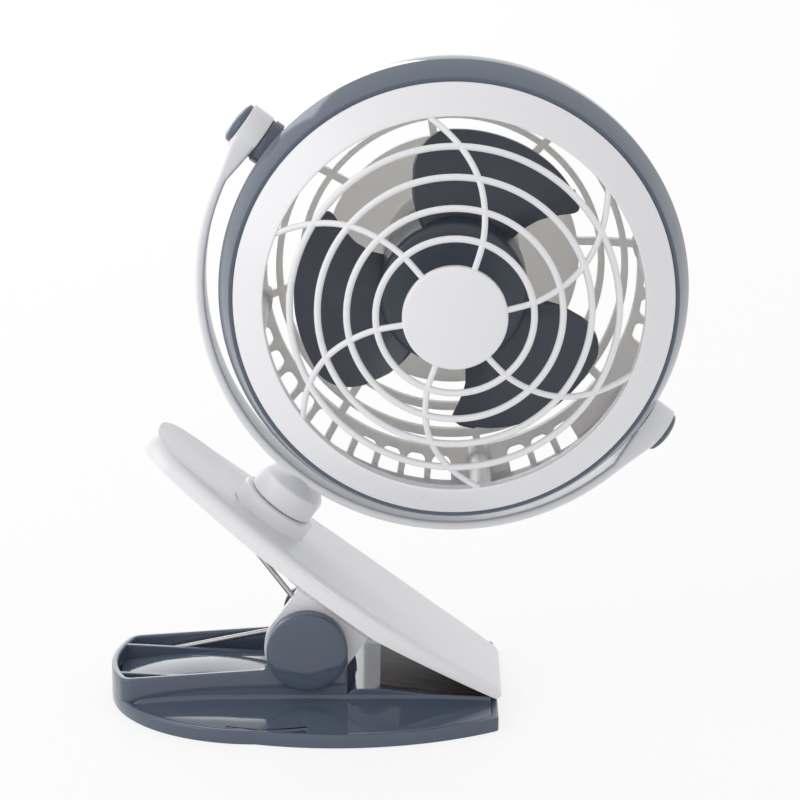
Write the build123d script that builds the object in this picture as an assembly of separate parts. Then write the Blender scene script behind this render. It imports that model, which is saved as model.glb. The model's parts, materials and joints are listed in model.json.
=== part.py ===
from build123d import *
import math
import os

# Clip fan: a fan head that tilts in a yoke, which swivels on a sprung clip. Sizes are in millimetres.
# The origin lies on the table under the clip's hinge. +X runs along the clip to its jaw, +Z is up,
# and the fan blows towards -Y.

os.makedirs("parts", exist_ok=True)

# ---------------------------------------------------------------- driving dimensions
# Fits
GAP = 0.3                    # between pieces that move past each other
SEAT_GAP = 0.1               # round a piece that sits in another
PIN_CLEARANCE = 0.05         # radial, round every pin and screw that turns

# Clip base
BASE_THICKNESS = 4.7
BASE_EDGE_RADIUS = 95.5      # each long edge of the foot, seen from above
BASE_HALF_WIDTH = 53.5
BASE_BULGE_X = 9.6           # where the foot is widest
BASE_LEFT = -66.0
BASE_RIGHT = 62.7
BASE_END_STEP = 3.5          # the rounded end's radius is this much less than the half width
BASE_END_CORNER = 12.0
BASE_TIP_CORNER = 2.0
RIM_WIDTH = 2.4
RIM_STEP = 0.9               # the foot's top lies this far below its rim
CHANNEL_HALF_WIDTH = 22.7
CHANNEL_WALL = 2.2
CHANNEL_FLOOR = 3.0
CHANNEL_CORNER = 5.0
CHANNEL_END_HEIGHT = 12.0    # wall height at the rounded end
CHANNEL_EAR_HEIGHT = 16.6    # wall height at the ears
RIB_OFFSET = 14.0            # the two ribs inside the handle, from the middle
RIB_THICKNESS = 1.8
RIB_LOW_HEIGHT = 9.5         # rib height at the hinge end
RIB_RUN = 52.0               # rib length from the rounded end
PLATEAU_START = 12.4
PLATEAU_HEIGHT = 9.2         # block under the pad, at its hinge end
PLATEAU_SLOPE_START = 24.0
PLATEAU_TIP_HEIGHT = 4.6
PLATEAU_NOSE = 4.6           # rounding of the block's edge by the hinge
WALL_BLEND = 2.3             # hollow rounding where a wall meets an ear
PAD_THICKNESS = 0.9
PAD_HALF_WIDTH = 20.5
PAD_END_MARGIN = 1.2
FOOT_PAD_RADIUS = 6.0
FOOT_PAD_DEPTH = 1.2
FOOT_PAD_SPREAD_X = 44.0
FOOT_PAD_SPREAD_Y = 26.0

# Hinge
HINGE_HEIGHT = 22.4
EAR_RADIUS = 13.3            # the near ear and its cover disc
FAR_EAR_RADIUS = 9.0
EAR_THICKNESS = 3.0
CAP_THICKNESS = 2.4
CAP_CHAMFER = 0.6
PIN_RADIUS = 2.5
JAW_EAR_RADIUS = 14.2        # the near ear, and the far ear below
JAW_FAR_EAR_RADIUS = 8.0
JAW_EAR_THICKNESS = 3.0

# Spring
WIRE_RADIUS = 0.9
COIL_RADIUS = 6.0            # to the wire's middle
COIL_TURNS = 6
COIL_GAP = 2.1               # between turns
LOWER_LEG_END = (-50.0, 16.6, 8.8)
LOWER_LEG_BEND = (-16.4, 15.1, 16.0)
LOWER_LEG_REST = 8.0         # length of the rest under the end of the lower leg
UPPER_LEG_TURN = 60.0        # degrees of the turn that belongs to the upper leg

# Clip jaw, measured along the tilt axis and along the stem, which leans back from the upright
STEM_LEAN = 36.87            # degrees from the upright
HINGE_OFFSET = 34.0          # from the stem's line to the hinge
JAW_RISE = 27.3              # from the hinge up to the ends of the jaw's top
JAW_SAG = 2.6                # the top dips this much between its ends
JAW_HANDLE_END = -48.4
JAW_TIP_END = 95.6
JAW_HALF_WIDTH = 31.5
JAW_TIP_HALF_WIDTH = 23.0
JAW_HANDLE_CORNER = 17.0
JAW_TIP_CORNER = 5.0
JAW_TIP_ROUNDING = 2.6       # under the tip
JAW_EDGE_RADIUS = 4.0
JAW_WALL = 2.2
JAW_SKIRT_HANDLE = 6.6       # wall height at the handle's end
JAW_SKIRT_MIDDLE = 8.6
JAW_SKIRT_TIP = 2.9
JAW_NECK_LEFT = 20.0         # the near ear's left edge, along the tilt axis
JAW_NECK_RIGHT = 48.0
JAW_NECK_TAPER = 4.6         # the far ear is this much narrower on each side
JAW_NECK_BLEND = 7.0         # hollow rounding where the near ear meets the skirt
JAW_GUSSET_DROP = 13.0       # from the ends of the jaw's top to the foot of its flared sides
JAW_PAD_LENGTH = 33.0
JAW_PAD_HALF_WIDTH = 17.0
DISH_RADIUS = 72.0           # the thumb dish in the handle
DISH_DEPTH = 2.0
DISH_START = -27.4           # middle of the dish's round end
DISH_END = -7.4
COLLAR_RADIUS = 13.5
COLLAR_HEIGHT = 2.8
COLLAR_ROUNDING = 0.8
COLLAR_BOSS_RADIUS = 11.0
COLLAR_BOSS_DEPTH = 5.9      # below the ends of the jaw's top
SPIGOT_RADIUS = 7.5

# Yoke
YOKE_CLEARANCE = 4.8         # between the middle ring and the yoke
YOKE_THICKNESS = 3.0
YOKE_WIDTH = 15.0
YOKE_ROUNDING = 1.1
YOKE_END_RADIUS = 7.8
YOKE_END_LENGTH = 8.0        # from the washer to the outer face of each end
YOKE_END_TAPER = 12.0        # degrees of the half ring that thicken towards each end
YOKE_END_SHOULDER = 4.7      # from the pivot to where an end's outer face starts to slope
NECK_RADIUS = 11.4
NECK_LENGTH = 11.2           # from the half ring to the collar
NECK_TAPER = 3.6             # height of the sloping shoulder under the half ring
PIVOT_SCREW_RADIUS = 2.0
PIVOT_HEAD_RADIUS = 4.0
PIVOT_HEAD_HEIGHT = 2.3
PIVOT_CAP_RADIUS = 7.0
PIVOT_CAP_HEIGHT = 2.9
PIVOT_WASHER_THICKNESS = 0.6
SWIVEL_SCREW_RADIUS = 1.65
SWIVEL_HEAD_RADIUS = 3.6
SWIVEL_HEAD_HEIGHT = 2.0
SWIVEL_SCREW_END = 3.0       # the screw stops this far below the half ring
SWIVEL_WASHER_RADIUS = 10.4
SWIVEL_WASHER_THICKNESS = 0.8

# Front grille, measured from the fan's axis and forward from the pivot
FRONT_APEX = 54.2
FRONT_EDGE_HEIGHT = 29.6     # front of the broad band's outer edge
BEZEL_OUTER_RADIUS = 70.4    # the rest of the head is sized from this
BEZEL_WIDTH = 9.8
BEZEL_THICKNESS = 2.4
BEZEL_LIP_DEPTH = 5.5
RING_RADII = (24.8, 33.9, 43.1, 52.0)
ROD_RADIUS = 1.1
SPOKE_ROD_RADIUS = 1.0
ROD_INSET = 1.4              # the rods' middle lines lie this far under the dome
BADGE_RADIUS = 16.6          # the plain disc in the middle
BADGE_THICKNESS = 2.8
SPOKE_COUNT = 6
SPOKE_START_ANGLE = 45.4     # degrees, at the disc
SPOKE_MID_RADIUS = 40.0
SPOKE_MID_SWEEP = 9.6
SPOKE_END_SWEEP = 30.0
SKIRT_WALL = 2.0
SKIRT_REAR = 12.0
SKIRT_FLANGE = 2.0
POST_RADIUS = 3.5
POST_INSET = 6.4             # from the band's outer edge to the posts' middles
POST_COUNT = 4

# Middle ring, as steps out from the broad band's outer edge
RING_FRONT = 29.0
RING_REAR = -4.0
RING_FRONT_STEP = 1.3
RING_MAX_STEP = 5.3
RING_MAX_HEIGHT = 13.0
RING_REAR_STEP = 1.9
RING_BORE_STEP = 0.5
RING_BEAD_WIDTH = 1.6
RING_SEAT_STEP = 6.5         # the flat that the washer lies on
RING_BOSS_RADIUS = 5.0
RING_BOSS_LENGTH = 3.0       # inside the ring's bore

# Rear grille
REAR_APEX = -42.1
REAR_EDGE_HEIGHT = -3.5
REAR_WALL = 2.2
REAR_RIM_STEP = 0.7          # the dome's edge inside the middle ring's bore
REAR_RIM_TOP = 6.0
BOWL_RADIUS = 42.3
REAR_RING_RADII = (49.6, 57.0)
REAR_BAR_WIDTH = 2.1
REAR_SPOKE_COUNT = 8
REAR_SPOKE_WIDTH = 2.4
WINDOW_MARGIN = 0.4          # between the windows and the dome's edge
WINDOW_LENGTH = 6.8
WINDOW_WIDTH = 7.2
WINDOW_TAPER = 1.2           # narrower by this at its inner end
WINDOW_CORNER = 2.0
WINDOW_PITCHES = 48          # places round the rim, some of them left solid
WINDOW_BLANK_PIVOT = 15.0    # degrees left solid on each side of a pivot
WINDOW_BLANK_POST = 7.6      # degrees left solid on each side of a post
CASE_BOSS_RADIUS = 4.4
CASE_BOSS_TOP = -3.0
CASE_SCREW_RADIUS = 1.5
CASE_HEAD_RADIUS = 2.6
CASE_HEAD_HEIGHT = 2.0
CASE_SCREW_LENGTH = 12.0
CASE_FLOOR_THICKNESS = 2.4
MOTOR_SEAT_WALL = 2.4
MOTOR_SEAT_TOP = -18.0
MOTOR_SEAT_LEDGE = 2.4

# Motor and impeller
MOTOR_RADIUS = 20.5
MOTOR_REAR = -24.0
MOTOR_FRONT = 6.0
MOTOR_WALL = 1.3
MAGNET_THICKNESS = 2.6
ARMATURE_RADIUS = 15.6
ARMATURE_LENGTH = 17.0
BEARING_RADIUS = 3.6
BEARING_LENGTH = 4.0
SHAFT_RADIUS = 1.5
HUB_RADIUS = 24.0
HUB_FRONT = 22.0
HUB_REAR = 2.0
HUB_WALL = 2.0
HUB_ROUNDING = 2.6
HUB_BOSS_RADIUS = 5.0
BLADE_COUNT = 3
BLADE_TIP_RADIUS = 52.0
BLADE_THICKNESS = 1.7
BLADE_START_ANGLE = 75.0     # degrees of the first blade's rear edge
BLADE_SPAN = 78.0            # degrees from a blade's rear edge to its front edge at the hub
BLADE_REAR = 4.2
BLADE_FRONT = 19.6
BLADE_TIP_CORNER = 10.0
BLADE_HEEL_RADIUS = 48.6     # to the corner behind a blade
BLADE_HEEL_CORNER = 3.0

# Controls in the rear bowl
BOARD_LENGTH = 28.0
BOARD_WIDTH = 20.0
BOARD_THICKNESS = 1.6
BOARD_HEIGHT = -32.5
BOARD_PEG_RADIUS = 1.6
BUTTON_RADIUS = 4.5
BUTTON_OFFSET = 9.0
BUTTON_TRAVEL = 1.5
BUTTON_PROUD = 2.4
INLET_OFFSET = -9.0
INLET_RADIUS = 4.0
INLET_BORE = 1.7
INLET_DEPTH = 7.0

# ---------------------------------------------------------------- places worked out from them
def dome_radius(rim, rise):
    """Radius of a dome from the radius of its rim and its rise."""
    return (rim ** 2 + rise ** 2) / (2 * rise)


BASE_END_RADIUS = BASE_HALF_WIDTH - BASE_END_STEP
BEZEL_INNER_RADIUS = BEZEL_OUTER_RADIUS - BEZEL_WIDTH
POST_CIRCLE_RADIUS = BEZEL_OUTER_RADIUS - POST_INSET
POST_PITCH = 360.0 / POST_COUNT
RING_FRONT_RADIUS = BEZEL_OUTER_RADIUS + RING_FRONT_STEP
RING_MAX_RADIUS = BEZEL_OUTER_RADIUS + RING_MAX_STEP
RING_REAR_RADIUS = BEZEL_OUTER_RADIUS + RING_REAR_STEP
RING_BORE = BEZEL_OUTER_RADIUS + RING_BORE_STEP
RING_SEAT_FACE = BEZEL_OUTER_RADIUS + RING_SEAT_STEP
RING_BOSS_INNER = RING_BORE - RING_BOSS_LENGTH
REAR_RIM_RADIUS = RING_BORE - REAR_RIM_STEP
WINDOW_OUTER_RADIUS = REAR_RIM_RADIUS - WINDOW_MARGIN
WINDOW_INNER_RADIUS = WINDOW_OUTER_RADIUS - WINDOW_LENGTH
FRONT_DOME_RADIUS = dome_radius(BEZEL_OUTER_RADIUS, FRONT_APEX - FRONT_EDGE_HEIGHT)
REAR_DOME_RADIUS = dome_radius(REAR_RIM_RADIUS, REAR_EDGE_HEIGHT - REAR_APEX)
REAR_DOME_CENTRE = REAR_APEX + REAR_DOME_RADIUS
WASHER_OUTER = RING_SEAT_FACE + PIVOT_WASHER_THICKNESS
YOKE_INNER_RADIUS = RING_MAX_RADIUS + YOKE_CLEARANCE
YOKE_OUTER_RADIUS = YOKE_INNER_RADIUS + YOKE_THICKNESS
YOKE_END_FACE = WASHER_OUTER + YOKE_END_LENGTH
COLLAR_TOP = -(YOKE_OUTER_RADIUS + NECK_LENGTH)
JAW_DROP = COLLAR_HEIGHT - COLLAR_TOP
LEAN = math.radians(STEM_LEAN)
TILT_DIRECTION = Vector(math.cos(LEAN), 0, -math.sin(LEAN))
HINGE_POINT = Vector(HINGE_OFFSET, -JAW_DROP - JAW_RISE, 0)
# The pivot is where the tilt axis crosses the fan's axis.
PIVOT_X = -HINGE_POINT.Y * math.sin(LEAN) - HINGE_OFFSET * math.cos(LEAN)
PIVOT_Z = HINGE_HEIGHT - HINGE_POINT.Y * math.cos(LEAN) + HINGE_OFFSET * math.sin(LEAN)
# In the head's own frame, x runs along the tilt axis, y up the stem and z forward from the pivot.
HEAD = Plane(origin=(PIVOT_X, 0, PIVOT_Z), x_dir=TILT_DIRECTION, z_dir=(0, -1, 0))
EAR_INNER = CHANNEL_HALF_WIDTH - EAR_THICKNESS
JAW_EAR_OUTER = EAR_INNER - GAP
JAW_EAR_INNER = JAW_EAR_OUTER - JAW_EAR_THICKNESS
FAR = 200.0                  # longer than any piece, for cutting right through


# ---------------------------------------------------------------- helpers
def save(solid, name):
    """Write one piece, or one group of like pieces, to its own file."""
    export_step(solid, os.path.join("parts", name + ".step"))


def save_group(solids, name):
    """Write several separate solids of one kind to one file."""
    save(Compound(children=list(solids)), name)


def bar(radius, start, end, bore=0.0):
    """Round bar from start to end, with a bore along it where one is given."""
    start, end = Vector(*start), Vector(*end)
    face = Circle(radius) - Circle(bore) if bore else Circle(radius)
    return Plane(origin=start, z_dir=end - start) * extrude(face, (end - start).length)


def tube(radius, bore, low, high):
    """Tube, or a rod where the bore is nothing, along the z axis."""
    return bar(radius, (0, 0, low), (0, 0, high), bore)


def turned(*edges):
    """Solid of revolution about the z axis from edges given as (radius, height)."""
    return revolve(Plane.XZ * make_face(edges), Axis.Z)


def slab(size_x, size_y, size_z, centre):
    """Plain block about its centre."""
    return Pos(*centre) * Box(size_x, size_y, size_z)


def polar(radius, angle):
    """Point on a circle about the origin, with the angle in degrees."""
    return (radius * math.cos(math.radians(angle)), radius * math.sin(math.radians(angle)))


def around(solid, count, start=0.0):
    """Copies of a solid at equal steps about the z axis."""
    return [Rot(0, 0, start + 360.0 * k / count) * solid for k in range(count)]


def both_sides(solid, plane=Plane.XZ):
    """A solid and its mirror image."""
    return [solid, mirror(solid, about=plane)]


def hinge_bar(radius, start, end, bore=0.0):
    """Round bar along the hinge's axis between two values of Y."""
    return bar(radius, (0, start, HINGE_HEIGHT), (0, end, HINGE_HEIGHT), bore)


# ---------------------------------------------------------------- clip base
def foot_corner_x(inset):
    """Where the long edges of the foot meet its rounded end."""
    end_x, edge_y = BASE_LEFT + BASE_END_RADIUS, BASE_EDGE_RADIUS - BASE_HALF_WIDTH
    end_radius, edge_radius = BASE_END_RADIUS - inset, BASE_EDGE_RADIUS - inset
    apart = math.hypot(BASE_BULGE_X - end_x, edge_y)
    along = (end_radius ** 2 - edge_radius ** 2 + apart ** 2) / (2 * apart)
    off = math.sqrt(end_radius ** 2 - along ** 2)
    return end_x + (along * (BASE_BULGE_X - end_x) - off * edge_y) / apart


def foot_edge(x, inset):
    """Half width of the foot at a place along it."""
    reach = math.sqrt((BASE_EDGE_RADIUS - inset) ** 2 - (x - BASE_BULGE_X) ** 2)
    return reach + BASE_HALF_WIDTH - BASE_EDGE_RADIUS


def foot_outline(inset=0.0):
    """The foot from above: two long arcs, a rounded end and a straight end, all drawn in by an inset."""
    left, right = foot_corner_x(inset), BASE_RIGHT - inset
    left_y, right_y = foot_edge(left, inset), foot_edge(right, inset)
    bulge = BASE_HALF_WIDTH - inset
    near = ThreePointArc((left, -left_y), (BASE_BULGE_X, -bulge), (right, -right_y))
    far = ThreePointArc((right, right_y), (BASE_BULGE_X, bulge), (left, left_y))
    end = ThreePointArc((left, left_y), (BASE_LEFT + inset, 0), (left, -left_y))
    outline = make_face([near, Line(near @ 1, far @ 0), far, end])
    outline = fillet(outline.vertices().sort_by(Axis.X)[:2], BASE_END_CORNER - inset)
    if inset >= BASE_TIP_CORNER:
        return outline
    return fillet(outline.vertices().sort_by(Axis.X)[-2:], BASE_TIP_CORNER - inset)


def foot():
    """The flat foot with its raised rim."""
    plate = extrude(foot_outline(), BASE_THICKNESS)
    recess = extrude(foot_outline(RIM_WIDTH), BASE_THICKNESS)
    return plate - Pos(0, 0, BASE_THICKNESS - RIM_STEP) * recess


def channel_height(x):
    """Height of the handle's sloping walls."""
    share = (x - BASE_LEFT) / -BASE_LEFT
    return CHANNEL_END_HEIGHT + share * (CHANNEL_EAR_HEIGHT - CHANNEL_END_HEIGHT)


def channel_plan(inset=0.0):
    """The open-topped handle from above, drawn in by an inset."""
    half, radius = CHANNEL_HALF_WIDTH - inset, BASE_END_RADIUS - inset
    left = BASE_LEFT + BASE_END_RADIUS - math.sqrt(radius ** 2 - half ** 2)
    end = ThreePointArc((left, half), (BASE_LEFT + inset, 0), (left, -half))
    plan = make_face([end, Polyline(end @ 1, (0, -half), (0, half), end @ 0)])
    return fillet(plan.vertices().sort_by(Axis.X)[:2], CHANNEL_CORNER - inset)


def side_prism(points, half_width):
    """A shape drawn from the side, carried across the clip."""
    face = Plane.XZ * make_face(Polyline(*points, close=True))
    return extrude(face, half_width, both=True)


def channel():
    """Handle walls, floor and the two ribs inside."""
    sloped = side_prism(((BASE_LEFT - 1, 0), (BASE_LEFT - 1, channel_height(BASE_LEFT)),
                         (0, CHANNEL_EAR_HEIGHT), (0, 0)), FAR)
    walls = extrude(channel_plan(), FAR) & sloped
    inside = channel_plan(CHANNEL_WALL)
    hollow = Pos(0, 0, CHANNEL_FLOOR) * extrude(inside, FAR)
    hollow = hollow + slab(2 * EAR_RADIUS, 2 * EAR_INNER, FAR, (0, 0, CHANNEL_FLOOR + FAR / 2))
    rib_end = BASE_LEFT + RIB_RUN
    ribs = side_prism(((BASE_LEFT + 1, 0), (BASE_LEFT + 1, channel_height(BASE_LEFT)),
                       (rib_end, RIB_LOW_HEIGHT), (rib_end, 0)), RIB_THICKNESS / 2)
    ribs = ribs & extrude(channel_plan(CHANNEL_WALL / 2), FAR)
    body = walls - hollow
    for y in (-RIB_OFFSET, RIB_OFFSET):
        body = body + Pos(0, y, 0) * ribs
    rest_x, _, rest_z = LOWER_LEG_END
    height, width = rest_z - WIRE_RADIUS, CHANNEL_HALF_WIDTH - RIB_OFFSET
    rest = slab(LOWER_LEG_REST, width, height, (rest_x, RIB_OFFSET + width / 2, height / 2))
    return body + (rest & walls)


def ear_blend(radius, side):
    """The hollow rounding between the handle's wall and the edge of an ear."""
    corner = Rectangle(WALL_BLEND, WALL_BLEND, align=(Align.MAX, Align.MIN))
    corner = corner - Pos(-WALL_BLEND, WALL_BLEND) * Circle(WALL_BLEND)
    face = Plane.XZ * (Pos(-radius, channel_height(-radius - WALL_BLEND)) * corner)
    return Pos(0, side * (CHANNEL_HALF_WIDTH - CHANNEL_WALL / 2), 0) * extrude(
        face, CHANNEL_WALL / 2, both=True)


def base_ear(radius, side):
    """One round ear that carries the hinge pin, on the handle's wall."""
    ear = hinge_bar(radius, side * EAR_INNER, side * CHANNEL_HALF_WIDTH)
    web = slab(2 * radius, EAR_THICKNESS, HINGE_HEIGHT,
               (0, side * (EAR_INNER + EAR_THICKNESS / 2), HINGE_HEIGHT / 2))
    return ear + web + ear_blend(radius, side)


def plateau():
    """The block under the pad, rounded at the hinge and sloping down to the tip."""
    block = side_prism(((PLATEAU_START, 0), (PLATEAU_START, PLATEAU_HEIGHT),
                        (PLATEAU_SLOPE_START, PLATEAU_HEIGHT), (BASE_RIGHT, PLATEAU_TIP_HEIGHT),
                        (BASE_RIGHT, 0)), CHANNEL_HALF_WIDTH)
    nose = block.edges().filter_by(Axis.Y).group_by(Axis.X)[0].sort_by(Axis.Z)[-1]
    return fillet(nose, PLATEAU_NOSE)


def foot_pad_places():
    """Middles of the four pads let into the foot's underside."""
    return [(BASE_BULGE_X + sx * FOOT_PAD_SPREAD_X - 4 * BASE_TIP_CORNER, sy * FOOT_PAD_SPREAD_Y)
            for sx in (-1, 1) for sy in (-1, 1)]


def base_jaw():
    """The clip's lower half: foot, handle, ears and block in one moulding."""
    body = foot() + channel() + plateau()
    body = body + base_ear(EAR_RADIUS, -1) + base_ear(FAR_EAR_RADIUS, 1)
    body = body - hinge_bar(PIN_RADIUS + SEAT_GAP / 10, -FAR, FAR)
    for x, y in foot_pad_places():
        body = body - Pos(x, y, 0) * tube(FOOT_PAD_RADIUS + SEAT_GAP, 0, -1, FOOT_PAD_DEPTH)
    return body


def base_pad():
    """The dark grip pad on the sloping block."""
    def top(x):
        slope = (PLATEAU_TIP_HEIGHT - PLATEAU_HEIGHT) / (BASE_RIGHT - PLATEAU_SLOPE_START)
        return PLATEAU_HEIGHT + slope * (x - PLATEAU_SLOPE_START)
    end = BASE_RIGHT - PAD_END_MARGIN
    points = [(PLATEAU_SLOPE_START, top(PLATEAU_SLOPE_START)), (end, top(end)),
              (end, top(end) + PAD_THICKNESS),
              (PLATEAU_SLOPE_START, top(PLATEAU_SLOPE_START) + PAD_THICKNESS)]
    return side_prism(points, PAD_HALF_WIDTH)


def hinge_cap(side, radius):
    """Plain disc over one end of the hinge."""
    inner = side * CHANNEL_HALF_WIDTH
    outer = side * (CHANNEL_HALF_WIDTH + CAP_THICKNESS)
    disc = hinge_bar(radius, inner, outer)
    rim = disc.edges().filter_by(GeomType.CIRCLE).sort_by(Axis.Y)[-1 if side > 0 else 0]
    return chamfer(rim, CAP_CHAMFER)


# ---------------------------------------------------------------- clip jaw, in the head's frame
def jaw_top(x):
    """Height of the jaw's gently dished top."""
    middle = (JAW_HANDLE_END + JAW_TIP_END) / 2
    share = (x - middle) / (JAW_TIP_END - middle)
    return -JAW_DROP - JAW_SAG * (1 - share * share)


def jaw_plan(inset=0.0):
    """The jaw from above: widest at the hinge, round at the handle, square at the tip."""
    hinge_x = HINGE_POINT.X
    reach = JAW_TIP_END - hinge_x
    handle_width = JAW_HALF_WIDTH - (JAW_HALF_WIDTH - JAW_TIP_HALF_WIDTH) * (
        (hinge_x - JAW_HANDLE_END) / reach) ** 2
    edge = ThreePointArc((JAW_HANDLE_END, handle_width), (hinge_x, JAW_HALF_WIDTH),
                         (JAW_TIP_END, JAW_TIP_HALF_WIDTH))
    other = ThreePointArc((JAW_TIP_END, -JAW_TIP_HALF_WIDTH), (hinge_x, -JAW_HALF_WIDTH),
                          (JAW_HANDLE_END, -handle_width))
    plan = make_face([edge, Line(edge @ 1, other @ 0), other, Line(other @ 1, edge @ 0)])
    plan = fillet(plan.vertices().sort_by(Axis.X)[:2], min(JAW_HANDLE_CORNER, handle_width - 1))
    plan = fillet(plan.vertices().sort_by(Axis.X)[-2:], JAW_TIP_CORNER)
    return offset(plan, amount=-inset) if inset else plan


def skirt_edge(x):
    """Height of the lower edge of the jaw's skirt, from the ears to the tip."""
    run = (x - JAW_NECK_RIGHT) / (JAW_TIP_END - JAW_NECK_RIGHT)
    first = jaw_top(JAW_NECK_RIGHT) - JAW_SKIRT_MIDDLE + JAW_WALL
    return first + run * (jaw_top(JAW_TIP_END) - JAW_SKIRT_TIP - first)


def jaw_tip_cut():
    """What the rounding under the jaw's tip takes away."""
    slope = math.degrees(math.atan(skirt_edge(1) - skirt_edge(0)))
    corner = Rectangle(2 * JAW_TIP_ROUNDING, 2 * JAW_TIP_ROUNDING)
    corner = corner - Pos(-JAW_TIP_ROUNDING, JAW_TIP_ROUNDING) * Circle(JAW_TIP_ROUNDING)
    return extrude(Pos(JAW_TIP_END, skirt_edge(JAW_TIP_END)) * (Rot(0, 0, slope) * corner), FAR, both=True)


def jaw_side(lower=0.0, bottom=None):
    """The jaw from the side, with its top lowered for the hollow inside."""
    middle = (JAW_HANDLE_END + JAW_TIP_END) / 2
    start, end = JAW_HANDLE_END - 1, JAW_TIP_END + 1
    top = ThreePointArc((start, jaw_top(start) - lower), (middle, jaw_top(middle) - lower),
                        (end, jaw_top(end) - lower))
    if bottom is None:
        bottom = [(end, skirt_edge(end)), (JAW_NECK_RIGHT, skirt_edge(JAW_NECK_RIGHT)),
                  (0, jaw_top(0) - JAW_SKIRT_MIDDLE + JAW_WALL),
                  (start, jaw_top(start) - JAW_SKIRT_HANDLE)]
    lines = Polyline(top @ 1, *bottom, top @ 0)
    return extrude(make_face([top, lines]), FAR / 2, both=True)


def jaw_prism(inset=0.0):
    """The jaw's plan carried down the stem's direction."""
    upright = Plane(origin=(0, -JAW_DROP, 0), x_dir=(1, 0, 0), z_dir=(0, -1, 0))
    return extrude(upright * jaw_plan(inset), FAR / 2, both=True)


def jaw_shell():
    """The hollow white cover, open below."""
    outer = jaw_side() & jaw_prism()
    rim = outer.edges().filter_by(lambda e: e.center().Y > jaw_top(e.center().X) - GAP)
    outer = fillet(rim, JAW_EDGE_RADIUS)
    depth = -JAW_DROP - FAR / 4
    floor = [(JAW_TIP_END + 1, depth), (JAW_HANDLE_END - 1, depth)]
    inner = (jaw_side(JAW_WALL, floor) & jaw_prism(JAW_WALL)) - thumb_dish(JAW_WALL)
    return (outer - inner) - thumb_dish() - jaw_tip_cut()


def dish_axis():
    """Height of the thumb dish's own axis."""
    return jaw_top((DISH_START + DISH_END) / 2) - DISH_DEPTH + DISH_RADIUS


def jaw_underside(x, z):
    """Height of the cover's inner face, under the dish as well."""
    beyond = max(DISH_START - x, 0, x - DISH_END)
    dished = dish_axis() - math.sqrt((DISH_RADIUS + JAW_WALL) ** 2 - z ** 2 - beyond ** 2)
    return min(jaw_top(x) - JAW_WALL, dished)


def thumb_dish(wall=0.0):
    """Shallow trough with round ends, cut into the handle's top; the wall under it follows."""
    radius, height = DISH_RADIUS + wall, dish_axis()
    turn = radius * math.sqrt(0.5)
    left = ThreePointArc((DISH_START - radius, height), (DISH_START - turn, height - turn),
                         (DISH_START, height - radius))
    right = ThreePointArc((DISH_END, height - radius), (DISH_END + turn, height - turn),
                          (DISH_END + radius, height))
    outline = make_face([left, Line(left @ 1, right @ 0), right, Line(right @ 1, left @ 0)])
    return revolve(outline, Axis((0, height, 0), (1, 0, 0)))


def jaw_neck(radius, taper, blend):
    """One ear from the side: the jaw's flared side drawn down round the hinge pin."""
    top = jaw_top(HINGE_POINT.X) - JAW_WALL / 2
    skirt = jaw_top(HINGE_POINT.X) - JAW_SKIRT_MIDDLE + JAW_WALL
    left, right = JAW_NECK_LEFT + taper, JAW_NECK_RIGHT - taper
    neck = Polyline((left, top), (right, top), (HINGE_POINT.X + radius, HINGE_POINT.Y),
                    (HINGE_POINT.X - radius, HINGE_POINT.Y), close=True)
    face = make_face(neck) + Pos(HINGE_POINT.X, HINGE_POINT.Y) * Circle(radius)
    if blend:
        hollow = Pos(left, skirt) * (Rectangle(blend, blend, align=(Align.MAX, Align.MAX))
                                     - Pos(-blend, -blend) * Circle(blend))
        face = face + hollow
    return face


def jaw_ear(side, radius, taper, blend):
    """One ear in its plane, just inside the base's ear."""
    face = jaw_neck(radius, taper, blend)
    return Pos(0, 0, side * (JAW_EAR_INNER + JAW_EAR_THICKNESS / 2)) * extrude(
        face, JAW_EAR_THICKNESS / 2, both=True)


def jaw_gusset(side, radius, taper, blend):
    """The flared side that joins the cover's wall to the ear."""
    top = jaw_top(HINGE_POINT.X) - JAW_WALL / 2
    wall_foot = jaw_top(HINGE_POINT.X) - JAW_SKIRT_MIDDLE + JAW_WALL
    wall = JAW_HALF_WIDTH - JAW_WALL / 2
    low = -JAW_DROP - JAW_GUSSET_DROP
    points = ((JAW_EAR_INNER, top), (wall, top), (wall, wall_foot), (JAW_EAR_OUTER, low), (JAW_EAR_INNER, low))
    section = Plane(origin=(JAW_HANDLE_END, 0, 0), x_dir=(0, 0, side), z_dir=(side, 0, 0))
    # The section's x runs across the jaw and its y against the head's.
    face = section * make_face(Polyline(*[(w, -h) for w, h in points], close=True))
    block = extrude(face, side * (JAW_TIP_END - JAW_HANDLE_END))
    block = block & extrude(jaw_neck(radius, taper, blend), FAR, both=True)
    reach = (HINGE_POINT.X, HINGE_POINT.Y)
    return block - bar(EAR_RADIUS + GAP + PIN_CLEARANCE, (*reach, side * JAW_EAR_OUTER), (*reach, side * FAR))


def collar():
    """The raised ring that the yoke's neck stands on, and the boss below it."""
    ring = bar(COLLAR_RADIUS, (0, COLLAR_TOP, 0), (0, jaw_top(0) - JAW_WALL / 2, 0))
    ring = fillet(ring.edges().filter_by(GeomType.CIRCLE).sort_by(Axis.Y)[-1], COLLAR_ROUNDING)
    return ring + bar(COLLAR_BOSS_RADIUS, (0, COLLAR_TOP - 1, 0), (0, -JAW_DROP - COLLAR_BOSS_DEPTH, 0))


def jaw_pad_block(low, high):
    """A block under the jaw's tip, between two distances below the skirt's edge."""
    end = JAW_TIP_END - JAW_TIP_CORNER
    start = end - JAW_PAD_LENGTH
    points = [(start, skirt_edge(start) + low), (end, skirt_edge(end) + low),
              (end, skirt_edge(end) + high), (start, skirt_edge(start) + high)]
    return extrude(make_face(Polyline(*points, close=True)), JAW_PAD_HALF_WIDTH, both=True)


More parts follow.
